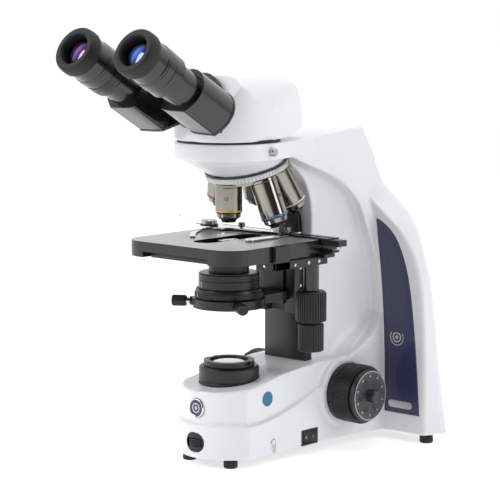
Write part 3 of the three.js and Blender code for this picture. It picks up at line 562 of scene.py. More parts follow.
# height, front of the middle, and depth of the crease beside it
SPINE = [
    (60, 85, 104), (88, 85, 124), (107, 85, 148), (138, 85, 153.5), (169, 85, 147.5), (204, 85, 135),
    (225, 84, 126), (243, 78, 109), (253, 70, 92), (262, 58, 68), (268, 46, 52),
]
CREASE_LOWER = [
    (-60, 39), (-32, 38.9), (2, 38.7), (40, 47), (67, 56), (90, 66),
    (104, 77), (124, 88), (140, 98), (149, 107), (155, 121),
]
CREASE_UPPER = [
    (155, 121), (154.5, 138), (148.5, 169), (136, 204), (127, 225), (110, 243), (93, 253), (67, 262),
    (46, 270), (24, 274), (0, 276),
]
PANEL_EDGE = [(26, 92), (72, 88.7), (109, 86.3), (154, 83), (182, 77), (194, 71.3), (203, 63), (210, 52)]
PANEL_INNER = 51


def wings():
    sections = []
    for z, fx, fy, rx, ry, back in smooth_table(WINGS):
        rear = spline([
            (rx - 1.5, ry + 1), (rx * 0.86, between(ry, back, 0.45)), (rx * 0.5, between(ry, back, 0.86)),
            (0, back),
        ], 5)
        corner = (between(fx, rx, 0.75), between(fy, ry, 0.75))
        half = [(0, fy), (fx - 3, fy), (fx, fy + 1.5), corner] + rear[:-1] + [(0, back)]
        sections.append([(x, y, z) for x, y in mirrored(half)])
    return solid(sections)


def lower_stand():
    side = extrude([(-60, BASE_BOTTOM)] + spline(CREASE_LOWER, 5) + [(172, 150), (172, BASE_BOTTOM)], -60,
            60, "x")
    flank = spline([(41, 8), (41, 42), (41, 75), (43, 100), (45.5, 120), (50, 153)], 5)
    half = arc(0, 0, NOSE_RADIUS, -90, -24, 32) + flank + [(50, 172), (0, 172)]
    return common(side, extrude(mirrored(half), 0, 160))


def deck():
    top = spline([(84, 82), (55, 80.5), (28, 78), (11, 75), (-24.5, 70), (-60, 66)], 5)
    side = extrude([(-60, 12), (112, 12), (112, 82)] + top, -60, 60, "x")
    half = arc(0, 0, DECK_RADIUS, -90, -24, 32) + [(DECK_HALF_WIDTH, 8), (DECK_HALF_WIDTH, 112), (0, 112)]
    return common(side, extrude(mirrored(half), 0, 100))


def upper_arm():
    top = spline([(0, 284), (48, 287.5), (100, 290), (143, 294)], 4)
    back = [(156, 270), (165, 242), (172, 214), (172, 121)]
    side = extrude(spline(CREASE_UPPER, 5) + top + back, -60, 60, "x")
    flank = spline([(CREASE_HALF_WIDTH, 0), (38.2, 46), (38.5, 80), (40.5, 105), (45, 128), (50, 150)], 5)
    plan = extrude(mirrored([(0, 0)] + flank + [(50, 172), (0, 172)]), 100, 310)
    taper = spline([(52, 118), (51, 195), (45, 228), (40.5, 250), (37.5, 275), (35, 300)], 5)
    front = extrude(taper + [(-x, z) for x, z in reversed(taper)], -10, 180, "y")
    return common(side, plan, front)


def spine():
    sections = []
    steps = 16
    for z, front, crease in smooth_table(SPINE):
        half = [(0, front)]
        for i in range(steps + 1):
            turn = math.pi / 2 * i / steps
            half.append((
                between(SPINE_HALF_WIDTH, CREASE_HALF_WIDTH - 1.5, 1 - math.cos(turn)),
                between(front, crease - 1, math.sin(turn)),
            ))
        half += [(CREASE_HALF_WIDTH - 1.5, SPINE_BACK), (0, SPINE_BACK)]
        sections.append([(x, y, z) for x, y in mirrored(half)])
    return solid(sections)


def flange():
    half = arc(0, 0, FLANGE_RADIUS, -90, 12, 48) + spline([(43.5, 26), (39, 44), (37.5, 70)], 5) + [(0, 70)]
    return extrude(mirrored(half), FLANGE_BOTTOM, FLANGE_TOP)


def turret_centre():
    return Vector((0, OBJECTIVE_CIRCLE * math.cos(TURRET_TILT),
            SHOULDER_Z + OBJECTIVE_CIRCLE * math.sin(TURRET_TILT)))


TURRET_PLACE = Matrix.Translation(turret_centre()) @ Matrix.Rotation(TURRET_TILT, 4, "X")


def neck():
    count = 96
    lower, middle, upper = [], [], []
    for i in range(count):
        turn = 2 * math.pi * i / count
        rim = TURRET_PLACE @ Vector((35.5 * math.cos(turn), 35.5 * math.sin(turn), 9.6))
        top = Vector((46.5 * math.cos(turn), 46.5 * math.sin(turn), FLANGE_BOTTOM + 6))
        lower.append(tuple(rim))
        middle.append(tuple(rim.lerp(top - Vector((0, 0, 4)), 0.6)))
        upper.append(tuple(top))
    return solid([lower, middle, upper])


def focus_boss():
    return along_x(lathe([(0, 30), (33, 38), (32.5, 42), (31, 43.6), (0, 43.6)]), FOCUS_Y, FOCUS_Z)


def panel_slab(margin, y0, y1):
    """Slab that follows the raked front wall of the right wing, from depth y0 to y1 behind it."""
    wall = [(row[0], row[2]) for row in smooth_table(WINGS)]
    edge = smooth_table(PANEL_EDGE)
    levels = [26, 50, 80, 105, 122, 140, 155, 165, 173, 181, 187, 191, 194, 198, 201, 203, 205, 207, 209]
    sections = []
    for level in levels:
        end = {levels[0]: margin, levels[-1]: -margin}.get(level, 0)
        y = interpolate(wall, level)
        inner = PANEL_INNER + margin
        outer = interpolate(edge, level) - margin
        corners = rectangle(inner, outer, y + y0, y + y1)
        sections.append([(px, py, level + end) for px, py in corners])
    return solid(sections)


def footprint(m):
    half = arc(0, 0, NOSE_RADIUS - m, -90, -26, 24) + [
        (41 - m, 8), (41 - m, 75), (45 - m, 118), (50 - m, 156 + m), (97 - m, 161 + m), (105 - m, 182),
        (90 - m, 189 - m), (50, 196.5 - m), (0, 198.5 - m),
    ]
    return mirrored(half)


WHEEL_Z = 22.5
WHEEL_Y = -35.5


def stadium(half_width, half_height, y0, y1):
    flat = half_width - half_height
    outline = arc(flat, WHEEL_Z, half_height, -90, 90, 24) + arc(-flat, WHEEL_Z, half_height, 90, 270, 24)
    return extrude(outline, y0, y1, "y")


def keyhole(half_width, x0, x1):
    outline = [(BUTTON_Y - half_width, 0), (BUTTON_Y + half_width, 0)] + arc(BUTTON_Y, 18.4, half_width, 0,
            180, 16)
    return extrude(outline, x0, x1, "x")


TURRET_CLEARANCE = [(0, -46), (46.5, -46), (49, -34), (39.2, 3), (38.5, 4), (38.5, 9.3), (0, 9.3)]


def stand_casting():
    boss = focus_boss()
    body = join(lower_stand(), deck(), upper_arm(), spine(), wings(), flange(), neck(), boss, mirror(boss))
    body = softened(body, 1.1, 5)
    knob_room = along_x(rod(27.8, 43.7, 75, 96), FOCUS_Y, FOCUS_Z)
    recess = panel_slab(0, -8, 2)
    return cut(
        body,
        block(-60, 60, -60, 210, 0, BASE_BOTTOM),
        block(-25, 25, 75.2, 85, 22, 110),
        block(-12.4, 12.4, 76, 85.2, 90, 227),
        along_x(rod(7, -70, 70), FOCUS_Y, FOCUS_Z),
        knob_room,
        mirror(knob_room),
        placed(lathe(TURRET_CLEARANCE), TURRET_PLACE),
        rod(14, 240, 300),
        rod(26, FLANGE_TOP - 6, 300),
        rod(27.3, 60, 95, 128),
        rod(14, 35, 61),
        extrude(footprint(4), 0, BASE_BOTTOM + 2.3),
        block(30, 60, 52, 75, 0, 22.8),
        keyhole(3.6, 38, 60),
        along_x(rod(2.7, 30, 45), BUTTON_Y, BUTTON_Z),
        stadium(10.6, 8.9, -60, -36),
        moved(rod(12, WHEEL_Z - 4, WHEEL_Z + 4), y=WHEEL_Y),
        along_y(rod(9.05, -60, -40.9, 96), 0, BADGE_Z),
        block(-14.6, 14.6, 182, 210, 23, 45),
        along_x(rod(2.3, 36, 60), CLAMP_Y, CLAMP_Z),
        recess,
        mirror(recess),
    )


piece("stand_shell", stand_casting(), "stand", WHITE_PAINT, ["stand_casting"], bevel=0, sharp=38)
for word, side in SIDES:
    piece(f"panel_{word}", side(panel_slab(GAP, -0.7, 1.7)), "stand", NAVY, [f"side_panel_{word}"],
            bevel=0.35)


def emblem_place(x, z):
    """Local XY plane laid on the front of the right panel at that place."""
    wall = [(row[0], row[2]) for row in smooth_table(WINGS)]
    y = interpolate(wall, z) - 0.75
    return Matrix.Translation((x, y, z)) @ FACING_FRONT


ring_mark = gathered(
    tube(7.0, 7.9, 0, 0.25, 96),
    tube(3.6, 5.0, 0, 0.25, 64),
    rod(1.7, 0, 0.25, 48),
)
plate_outline = arc(10.5, 0, 3.4, -90, 90, 24) + arc(-10.5, 0, 3.4, 90, 270, 24)
for word, side in SIDES:
    piece(f"panel_emblem_{word}", side(placed(ring_mark, emblem_place(66.5, 98))), "stand", SILVER_PRINT,
            bevel=0)
    piece(f"panel_plate_{word}", side(placed(extrude(plate_outline, 0, 0.5), emblem_place(70, 34.5))),
            "stand",
          SILVER_PRINT, bevel=0.15)


# ---------------------------------------------------------------- base fittings
def feet():
    profile = [(0, 0), (5.4, 0), (6.1, 0.7), (6.3, 1.4), (6.3, 6.4), (5.2, 6.8), (5.2, BASE_BOTTOM - GAP),
               (0, BASE_BOTTOM - GAP)]
    for word, x, y in (("front_left", -25, -25), ("front_right", 25, -25), ("rear_left", -92, 171),
                       ("rear_right", 92, 171)):
        piece(f"rubber_foot_{word}", moved(lathe(profile, 64), x, y), "stand", RUBBER, [f"foot_{word}"])


def collector():
    housing = lathe([
        (0, 60.3), (27, 60.3), (27, 72.6), (26.5, 73.1), (27, 73.6), (27, 84.6), (25.6, 86), (18, 86),
        (18, 82.7),
        (15.5, 82.7), (15.5, 63), (0, 63),
    ], 160)
    piece("collector_body", housing, "stand", BLACK_SATIN, ["collector_housing"])
    ring_body = tube(17.6, 22.75, 86.3, 91, 160)
    notches = [block(-30, -20.6, -3.5, 3.5, 88, 95), block(20.6, 30, -3.5, 3.5, 88, 95)]
    piece("diaphragm_ring", cut(ring_body, *notches), "field_diaphragm", BLACK_SATIN,
            ["field_diaphragm_ring"])
    dome = [(0, 83), (17.3, 83), (17.3, 88.2)] + spline([(17.3, 88.2), (12, 89.8), (6, 90.4), (0, 90.6)],
            6)[1:]
    piece("field_lens_glass", lathe(dome, 128), "stand", FIELD_GLASS, ["field_lens"], bevel=0)


def badge():
    disc = lathe([(0, -42.9), (7.0, -42.9), (7.2, -42.6), (7.2, -41.2), (0, -41.2)], 96)
    rim = lathe([(7.25, -41.2), (7.25, -42.9), (7.6, -43.1), (8.2, -43.1), (8.75, -42.4), (8.75, -41.2),
                 (7.25, -41.2)], 96)
    rings = gathered(tube(3.4, 4.4, -43.05, -42.8, 64), rod(1.5, -43.05, -42.8, 48))
    piece("badge_disc", along_y(disc, 0, BADGE_Z), "stand", NAVY, ["front_badge"], bevel=0.1)
    piece("badge_rim", along_y(rim, 0, BADGE_Z), "stand", CHROME, bevel=0.12)
    piece("badge_print", along_y(rings, 0, BADGE_Z), "stand", SILVER_PRINT, bevel=0)


def brightness_control():
    plate = common(stadium(10.3, 8.6, -60, -43), rod(NOSE_RADIUS + 0.5, 0, 40, 160))
    plate = cut(plate, block(-8.8, 8.8, -60, -30, WHEEL_Z - 3.6, WHEEL_Z + 3.6))
    piece("brightness_plate", plate, "stand", BLACK_PLASTIC, ["brightness_bezel"], bevel=0.3)
    wheel = extrude(ribbed(11.2, 0.5, 44), WHEEL_Z - 3.3, WHEEL_Z + 3.3)
    piece("brightness_thumbwheel", moved(wheel, y=WHEEL_Y), "brightness", GRIP, ["brightness_wheel"],
            bevel=0.15)


def switch_marks():
    """O and I marks on the rocker's two halves, each on its own slope."""
    ring_shape = placed(tube(1.0, 1.35, -0.1, 0.12, 40), Matrix.Translation((40.45, 60.0, 15.4)) @ ALONG_X)
    bar = block(41.55, 41.85, 67.3, 67.65, 13.9, 16.9)
    piece("switch_marks", gathered(ring_shape, bar), "power", WHITE_INK, bevel=0)


feet()
collector()
badge()
brightness_control()
switch_marks()
piece("sticker", moved(along_x(rod(6.75, 0, 0.12, 96), 8.8, 58.5), DECK_HALF_WIDTH), "stand",
      STICKER_TEAL, bevel=0)
piece("round_button", along_x(lathe([(0, 36.6), (2.35, 36.6), (2.35, 41.2), (2.0, 41.7), (0, 41.8)], 48),
        BUTTON_Y, BUTTON_Z),
      "button", WHITE_PLASTIC, ["side_button"], bevel=0.1)
dress("base_plate", BLACK_SATIN)
dress("power_switch_frame", BLACK_PLASTIC)
dress("power_rocker", BLACK_PLASTIC)
dress("mains_inlet", BLACK_PLASTIC)

# ---------------------------------------------------------------- focus drive
COARSE_RADIUS = 27
COARSE_START = 44
COARSE_END = 67.9
FINE_RADIUS = 23.8
FINE_END = 74
DIMPLES = 6
DIMPLE_CIRCLE = 13.0
DIAL_LINES = 50
DIAL_FIGURES = 10


def coarse_grip():
    drum = extrude(ribbed(COARSE_RADIUS, 0.55, 90), COARSE_START + 5, COARSE_END - 1.1)
    collar = lathe([(0, COARSE_START), (COARSE_RADIUS - 0.6, COARSE_START),
            (COARSE_RADIUS - 0.6, COARSE_START + 4.6),
                    (COARSE_RADIUS - 1.2, COARSE_START + 5.1), (0, COARSE_START + 5.1)], 160)
    lip = rod(COARSE_RADIUS - 0.5, COARSE_END - 1.2, COARSE_END, 160)
    hole = placed(rod(1.1, 20, 30, 32), Matrix.Translation((0, 0, COARSE_START + 2.6)) @ Matrix.Rotation(
        math.radians(-90), 4, "Y") @ Matrix.Rotation(math.radians(90 + 12), 4, "X"))
    whole = cut(join(drum, collar, lip), rod(6.3, 30, 80), hole)
    return along_x(whole, FOCUS_Y, FOCUS_Z)


def fine_dial():
    """Fine knob with a middle boss and finger dimples round its face, in its own frame."""
    disc = lathe([
        (0, COARSE_END + GAP), (FINE_RADIUS - 0.6, COARSE_END + GAP), (FINE_RADIUS, COARSE_END + 1.1),
        (FINE_RADIUS, FINE_END - 1.2), (FINE_RADIUS - 1.0, FINE_END), (FINE_RADIUS - 1.9, FINE_END),
        (FINE_RADIUS - 2.2, FINE_END - 0.4), (8.5, FINE_END - 0.4), (7.5, FINE_END), (0, FINE_END),
    ], 160)
    nub = lathe([(0, FINE_END - 0.5), (6, FINE_END - 0.5), (6, FINE_END + 6.8), (5.0, FINE_END + 8),
                 (3.4, FINE_END + 8), (3.0, FINE_END + 7.6), (0, FINE_END + 7.6)], 64)
    bowl = lathe([(0, FINE_END - 1.9), (1.6, FINE_END - 1.6), (3.0, FINE_END - 0.8), (3.6, FINE_END + 0.5),
                  (0, FINE_END + 0.5)], 48)
    dimples = []
    for i in range(DIMPLES):
        turn = 2 * math.pi * (i + 0.5) / DIMPLES
        dimples.append(moved(bowl, DIMPLE_CIRCLE * math.cos(turn), DIMPLE_CIRCLE * math.sin(turn)))
    return cut(join(disc, nub), *dimples)


def dial_marks():
    """Scale of lines and round figures near the rim of the fine dial, in the dial's own frame."""
    face = FINE_END - 0.42
    marks = []
    for i in range(DIAL_LINES):
        length = 1.8 if i % 5 == 0 else 1.0
        line = block(FINE_RADIUS - 2.5 - length, FINE_RADIUS - 2.5, -0.08, 0.08, face, face + 0.08)
        marks.append(placed(line, Matrix.Rotation(2 * math.pi * i / DIAL_LINES, 4, "Z")))
    for i in range(DIAL_FIGURES):
        turn = 2 * math.pi * i / DIAL_FIGURES
        figure = text_mesh(str(i * 2), 2.6, 0.04)
        around = Matrix.Rotation(turn, 4, "Z") @ Matrix.Translation((FINE_RADIUS - 5.9, 0, face + 0.04))
        marks.append(placed(figure, around @ Matrix.Rotation(-math.pi / 2, 4, "Z")))
    return gathered(*marks)


def focus_drive():
    grip = coarse_grip()
    rim = tube(FINE_RADIUS - 1.75, FINE_RADIUS - 1.15, FINE_END - 0.3, FINE_END + 0.12, 160)
    dial, rim, marks = (along_x(part, FOCUS_Y, FOCUS_Z) for part in (fine_dial(), rim, dial_marks()))
    for word, side in SIDES:
        piece(f"coarse_grip_{word}", side(grip), "coarse_drive", GRIP, [f"coarse_knob_{word}"], bevel=0.12)
        piece(f"fine_dial_{word}", side(dial), "fine_drive", DIAL, [f"fine_knob_{word}"], bevel=0.15)
        piece(f"dial_rim_{word}", side(rim), "fine_drive", ALUMINIUM, bevel=0)
        piece(f"dial_scale_{word}", side(marks), "fine_drive", WHITE_INK, bevel=0)
    dress("coarse_shaft", ALUMINIUM)


focus_drive()


# ---------------------------------------------------------------- slide column and stage
STAGE_BOTTOM = 186
STAGE_TOP = 199.8
SLOT_HALF_WIDTH = 11.5
SLOT_FRONT = -40
SLOT_BACK = 38
RAIL_TOP = 201.3
DRIVE_X = 59.5
DRIVE_Y = 43
FINGER_X = -60
FINGER_Y = 38


def rounded_slot(grow):
    r = SLOT_HALF_WIDTH + grow
    ends = arc(0, SLOT_BACK - SLOT_HALF_WIDTH, r, 0, 180, 32)
    return ends + arc(0, SLOT_FRONT + SLOT_HALF_WIDTH, r, 180, 360, 32)


def stage_plate():
    plate = extrude(rounded_box(-67, 67, -68, 66, 22, 4, 24), STAGE_BOTTOM, STAGE_TOP)
    return cut(plate, block(-40, 38, -90, 90, 170, 191), extrude(rounded_slot(0), 180, 210))


def painted_stage_reflection():
    """Thin layer on the upper face of the plate, just inside its rounded edge, light grey to paint the
    silvery reflection of the black top.
    """
    layer = extrude(rounded_box(-66.5, 66.5, -67.5, 46.4, 21.5, 4, 24), STAGE_TOP - 0.2, STAGE_TOP + 0.04)
    return cut(layer, extrude(rounded_slot(0), 180, 210))


def toothed(x0, x1, z0, z1, pitch, depth):
    """Strip outline in x and z with teeth along its lower edge."""
    points = [(x1, z1), (x0, z1)]
    count = int((x1 - x0) / pitch)
    step = (x1 - x0) / count
    for i in range(count):
        left = x0 + i * step
        points += [(left, z0 + depth), (left + 0.3 * step, z0), (left + 0.6 * step, z0),
                (left + 0.9 * step, z0 + depth)]
    points.append((x1, z0 + depth))
    return points


def guide_bar():
    rail = cut(block(-66, 76, 47, 62, 200.1, RAIL_TOP), block(-80, 100, 52.9, 56.1, 200.6, 210))
    section = [(58, 195), (58, 200.3), (47, 200.3), (47, 198.9), (47.8, 198.7), (47.8, 198.2), (47, 198.0),
            (47, 197.2),
               (47.8, 197.0), (47.8, 196.5), (47, 196.3), (47, 195)]
    piece("guide_rail_strip", rail, "stage_top", STAGE_BLACK, ["x_guide_bar"], bevel=0.2)
    piece("guide_end_block", extrude(section, 67.3, 88, "x"), "stage_top", BLACK_SATIN, bevel=0.15)
    piece("x_rack", extrude(toothed(67.3, 84, 191.9, 195, 1.0, 0.7), 49, 56, "y"), "stage_top", ALUMINIUM,
            bevel=0)
    piece("rack_strip", extrude(toothed(67.3, 80.5, 188.8, 192, 2.4, 0.9), 47.5, 57, "y"), "stage_top",
            BLACK_SATIN,
          bevel=0.1)


def screw_head(radius, height):
    """Hexagon socket head with its own +Z outwards."""
    head = lathe([(0, -0.4), (radius, -0.4), (radius, height * 0.8), (radius * 0.86, height), (0, height)],
            40)
    socket = extrude(arc(0, 0, radius * 0.5, 0, 300, 5), height * 0.4, height + 1)
    return cut(head, socket)


def screws(name, body, places):
    """Socket screws: x, y and z of each head, its radius and the way it faces, x or front."""
    turns = {"x": ALONG_X, "front": FACING_FRONT}
    heads = [placed(screw_head(radius, 0.7), Matrix.Translation((x, y, z)) @ turns[facing])
             for x, y, z, radius, facing in places]
    piece(name, gathered(*heads), body, CHROME, bevel=0)


def drive_bracket():
    piece("bracket_side", block(67.3, 71, -17, 2, 178.5, 199.4), "stage_top", BLACK_SATIN,
            ["drive_bracket"], bevel=0.5)
    piece("bracket_arm", block(48, 71, -17, 52, 178.5, 185.7), "stage_top", BLACK_SATIN, bevel=0.5)
    stem = lathe([(2.9, 154.3), (7, 154.3), (7, 177), (7.6, 177.5), (7.6, 178.8), (2.9, 178.8),
            (2.9, 154.3)], 64)
    piece("knob_stem", moved(stem, DRIVE_X, DRIVE_Y), "stage_top", TUBE_BLACK)
    piece("rack_ledge", block(67.3, 76, 42, 56, 184.5, 187.8), "stage_top", BLACK_SATIN, bevel=0.3)
    screws("bracket_screws", "stage_top", [(71, 8, 181.8, 1.3, "x"), (71, 26, 182.0, 1.5, "x"),
            (71, 40, 182.0, 1.5, "x"),
                                           (58, -17, 182, 1.3, "front")])


def stage_knobs():
    upper = join(extrude(ribbed(13.75, 0.7, 36), 127.5, 152.5), lathe([(0, 127), (12.9, 127), (12.9, 153.2),
                                                                     (12.2, 154), (0, 154)], 128))
    upper = cut(upper, rod(2.9, 100, 170))
    lower = join(extrude(ribbed(11.5, 0.6, 30), 100.8, 124.2),
                 lathe([(0, 100), (10.2, 100), (10.7, 100.6), (10.7, 124.6), (8, 125), (8, 126.6),
                 (0, 126.6)], 128),
                 rod(2.5, 125, 162))
    piece("y_drive_knob", moved(upper, DRIVE_X, DRIVE_Y), "y_drive", GRIP, ["y_knob"], bevel=0.2)
    piece("x_drive_knob", moved(lower, DRIVE_X, DRIVE_Y), "x_drive", GRIP, ["x_knob"], bevel=0.2)


def specimen_holder():
    bottom = RAIL_TOP + GAP
    top = bottom + 1.2
    plate = extrude([(-64, 33), (-40, 33)] + spline([(-40, 33), (-38, 38), (-33, 41.5), (-26, 42)], 5)[1:]
                    + [(33.5, 42), (33.5, 59), (-58, 59), (-64, 46)], bottom, top)
    plate = cut(plate, moved(rod(3.4, 190, 215), FINGER_X, FINGER_Y))
    tip = arc(28.75, -3.5, 4.75, 180, 360, 16)
    arm = extrude(tip + [(33.5, 46.7), (24, 46.7)], 200.2, 201.4)
    piece("holder_plate", plate, "specimen_holder", CHROME, ["slide_holder"], bevel=0.2)
    piece("holder_arm", join(arm, block(24, 33.5, 42, 46.7, 200.2, top)), "specimen_holder", CHROME,
            bevel=0.2)
    piece("holder_tongue", block(-58, 33, 53.3, 55.7, 200.9, top), "specimen_holder", ALUMINIUM, bevel=0.1)
    for word, x in (("left", -26), ("right", 29.5)):
        stem = rod(1.6, top - 0.3, top + 1.6)
        grip = extrude(ribbed(3.1, 0.25, 24), top + 1.3, top + 4.9)
        cap = lathe([(0, top + 4.8), (2.8, top + 4.8), (2.8, top + 5.2), (2.4, top + 5.5), (0, top + 5.5)],
                48)
        piece(f"holder_screw_{word}", moved(join(stem, grip, cap), x, 45.2), "specimen_holder", NICKEL,
                bevel=0.08)


def spring_finger():
    path = spline([(0, 3), (-1, -8), (5, -20), (15, -36), (27, -50), (33, -56)], 8)
    width = [r[1] for r in smooth_table([(0, 8), (1, 6), (2, 5.5), (3, 5), (4, 5), (5, 5)], 8)]
    left, right = [], []
    for i, (x, y) in enumerate(path):
        ahead = Vector(path[min(i + 1, len(path) - 1)]) - Vector(path[max(i - 1, 0)])
        ahead.normalize()
        left.append((x + ahead.y * width[i] / 2, y - ahead.x * width[i] / 2))
        right.append((x - ahead.y * width[i] / 2, y + ahead.x * width[i] / 2))
    finger = extrude(left + right[::-1], 200.1, 201.2)
    pivot = lathe([(0, 203.1), (8.2, 203.1), (8.5, 203.4), (8.5, 204.6), (8.2, 204.9), (0, 204.9)], 96)
    cap = lathe([(0, 204.7), (7.4, 204.7), (7.4, 207.8), (6.6, 208.6), (0, 208.6)], 96)
    bend = spline([(-6, -2, 203.9), (-13, -2, 204.0), (-20, -2, 205.6), (-33, -2, 209.5), (-36, -2, 210.0)],
            6)
    to_pivot = {"x": FINGER_X, "y": FINGER_Y}
    piece("holder_finger_blade", moved(finger, **to_pivot), "finger", CHROME, ["holder_finger"], bevel=0.2)
    piece("finger_post", moved(rod(3, 200.3, 203.4), **to_pivot), "finger", DARK_CHROME, bevel=0)
    piece("finger_collar", moved(pivot, **to_pivot), "finger", BLACK_SATIN, bevel=0)
    piece("finger_cap", moved(cap, **to_pivot), "finger", ALUMINIUM, bevel=0)
    piece("finger_wire", moved(sweep(bend, 0.75), **to_pivot), "finger", CHROME, bevel=0)


for carried in ("guide_rail", "column_slide", "stage_bracket", "stage_support"):
    dress(carried, BLACK_SATIN)
piece("stage_table", stage_plate(), "stage_top", STAGE_BLACK, ["stage_plate"], bevel=0.35)
# Light grey layer on the black stage top: a painted reflection of its silvery sheen.
piece("painted_stage_reflection", painted_stage_reflection(), "stage_top", PAINTED_STAGE_REFLECTION, bevel=0)
guide_bar()
drive_bracket()
stage_knobs()
specimen_holder()
spring_finger()
screws("column_screws", "stage_carrier", [(23.5, 70, 178, 1.5, "x"), (23.5, 70, 168, 1.3, "x"),
        (23.5, 70, 152, 1.3, "x")])


# ---------------------------------------------------------------- condenser
CENTRING_Z = 143
CENTRING_ANGLE = 57    # of each centring screw from the front, in degrees
HEIGHT_KNOB_Y = 67
HEIGHT_KNOB_Z = 148
SCALE_TURNS = (-143, -136.5, -128, -119.5, -111)


def screw_place(side):
    """Local +Z outwards along the centring screw axis of one side."""
    turn = math.radians(-90 + side * CENTRING_ANGLE)
    lying = Matrix.Rotation(math.pi / 2, 4, "Y")
    return Matrix.Translation((0, 0, CENTRING_Z)) @ Matrix.Rotation(turn, 4, "Z") @ lying


def condenser():
    body = lathe([
        (0, 139.5), (20, 139.5), (20, 140.9), (22, 140.9), (22, 147.4), (24, 147.4), (24, 156.3),
        (27, 156.3),
        (27, 163.4), (26.6, 163.8), (27, 164.2), (27, 169), (26.4, 169.6), (26.2, 170), (22.5, 170),
        (22, 169.4), (18, 169.4),
        (18, 177.6), (17.5, 178), (18, 178.4), (18, 185.5), (13, 190), (9.7, 190), (9.7, 198.4),
        (7.4, 198.4),
        (7.4, 196), (0, 196),
    ], 160)
    rim = tube(18.4, 26.1, 169.7, 170.05, 160)
    lens = lathe([(0, 196.3), (7.1, 196.3), (7.1, 198.2)] + spline([(7.1, 198.2), (4, 198.9), (0, 199.1)],
            6)[1:], 96)
    collar = tube(7.6, 9.5, 198.3, 198.55, 96)
    piece("condenser_barrel", body, "condenser", BLACK_SATIN, ["condenser_body"], bevel=0.15)
    piece("condenser_rim", rim, "condenser", ALUMINIUM, bevel=0)
    piece("condenser_front_lens", lens, "condenser", CONDENSER_GLASS, ["condenser_lens"], bevel=0)
    piece("condenser_front_rim", collar, "condenser", CHROME, bevel=0)
    marks = []
    for turn in SCALE_TURNS:
        line = block(26.9, 27.12, -0.22, 0.22, 156.9, 160.4)
        dot = placed(rod(0.5, 26.8, 27.14, 24), Matrix.Translation((0, 0, 161.6)) @ ALONG_X)
        marks.append(placed(gathered(line, dot), Matrix.Rotation(math.radians(turn), 4, "Z")))
    piece("aperture_scale", gathered(*marks), "condenser", WHITE_INK, bevel=0)

    ring_body = join(extrude(ribbed(30.7, 0.45, 96), 148.6, 152.6),
            lathe([(0, 148), (29.5, 148), (29.9, 148.4),
                     (29.9, 153.4), (29.2, 156), (0, 156)], 160))
    pointer = placed(block(30.5, 30.95, -0.3, 0.3, 148.8, 152.4),
            Matrix.Rotation(math.radians(-112), 4, "Z"))
    piece("aperture_grip", cut(ring_body, rod(24.3, 140, 160, 128)), "aperture", BLACK_SATIN,
            ["aperture_ring"], bevel=0.12)
    piece("aperture_pointer", pointer, "aperture", WHITE_INK, bevel=0)


def condenser_carrier():
    hoop = tube(29.5, 32.5, 139, 147, 160)
    arms = [block(-16, -11, 29, 60, 139, 147), block(11, 16, 29, 60, 139, 147)]
    bridge = block(-16, 16, 55, 61, 139, 147)
    slider = block(-11.5, 11.5, 60, 71, 135, 168)
    seat = tube(20.3, 24.5, 139, 140.6, 128)
    spokes = [block(-2.5, 2.5, -31, -22, 139, 140.6), block(-31, -22, -2.5, 2.5, 139, 140.6),
              block(22, 31, -2.5, 2.5, 139, 140.6), block(-2.5, 2.5, 22, 57, 139, 140.6)]
    sockets = [placed(rod(4, 30.5, 35), screw_place(side)) for side in (-1, 1)]
    holes = [placed(rod(2.4, 25, 40), screw_place(side)) for side in (-1, 1)]
    whole = cut(join(hoop, *arms, bridge, slider, seat, *spokes, *sockets), *holes)
    piece("condenser_holder", whole, "condenser", BLACK_SATIN, ["condenser_carrier"], bevel=0.25)


def centring_screws():
    for word, side in (("left", -1), ("right", 1)):
        neck_profile = [(0, 23), (2, 23), (2, 36), (3, 36), (3, 38.4), (0, 38.4)]
        grip = join(extrude(ribbed(5.0, 0.35, 20), 39.6, 50.4),
                    lathe([(0, 38.4), (4.3, 38.4), (4.7, 39.2), (4.7, 50.8), (4.2, 51.5), (0, 51.5)], 64))
        place = screw_place(side)
        piece(f"centring_grip_{word}", placed(grip, place), f"centring_{word}", GRIP,
                [f"centring_screw_{word}"], bevel=0.12)
        piece(f"centring_stem_{word}", placed(lathe(neck_profile, 48), place), f"centring_{word}", CHROME,
                bevel=0.1)


def condenser_focus_knob():
    grip = join(extrude(ribbed(9, 0.5, 30), -44, -28), lathe([(0, -45), (7.8, -45), (8.4, -44.2),
            (8.4, -27.6),
                (8, -27), (0, -27)], 96), rod(3, -30, -13))
    piece("condenser_height_knob", along_x(grip, HEIGHT_KNOB_Y, HEIGHT_KNOB_Z), "condenser_drive", GRIP,
            ["condenser_knob"], bevel=0.15)


condenser()
condenser_carrier()
centring_screws()
condenser_focus_knob()


# ---------------------------------------------------------------- nosepiece
def objective_place(turn):
    swing = Matrix.Rotation(math.radians(turn), 4, "Z")
    outward = Matrix.Translation((0, -OBJECTIVE_CIRCLE, 0))
    return TURRET_PLACE @ swing @ outward @ Matrix.Rotation(-TURRET_TILT, 4, "X")


OBJECTIVE_RADIUS = 12.0
TIP_LENGTH = 9         # of the nose below the wide barrel

OBJECTIVES = [
    ("10x", 0, 33.5, BAND_YELLOW), ("40x", 72, 44, BAND_BLUE), ("100x", 144, 45, BAND_WHITE),
    ("4x", -72, 28, BAND_RED), ("20x", -144, 40, BAND_GREEN),
]


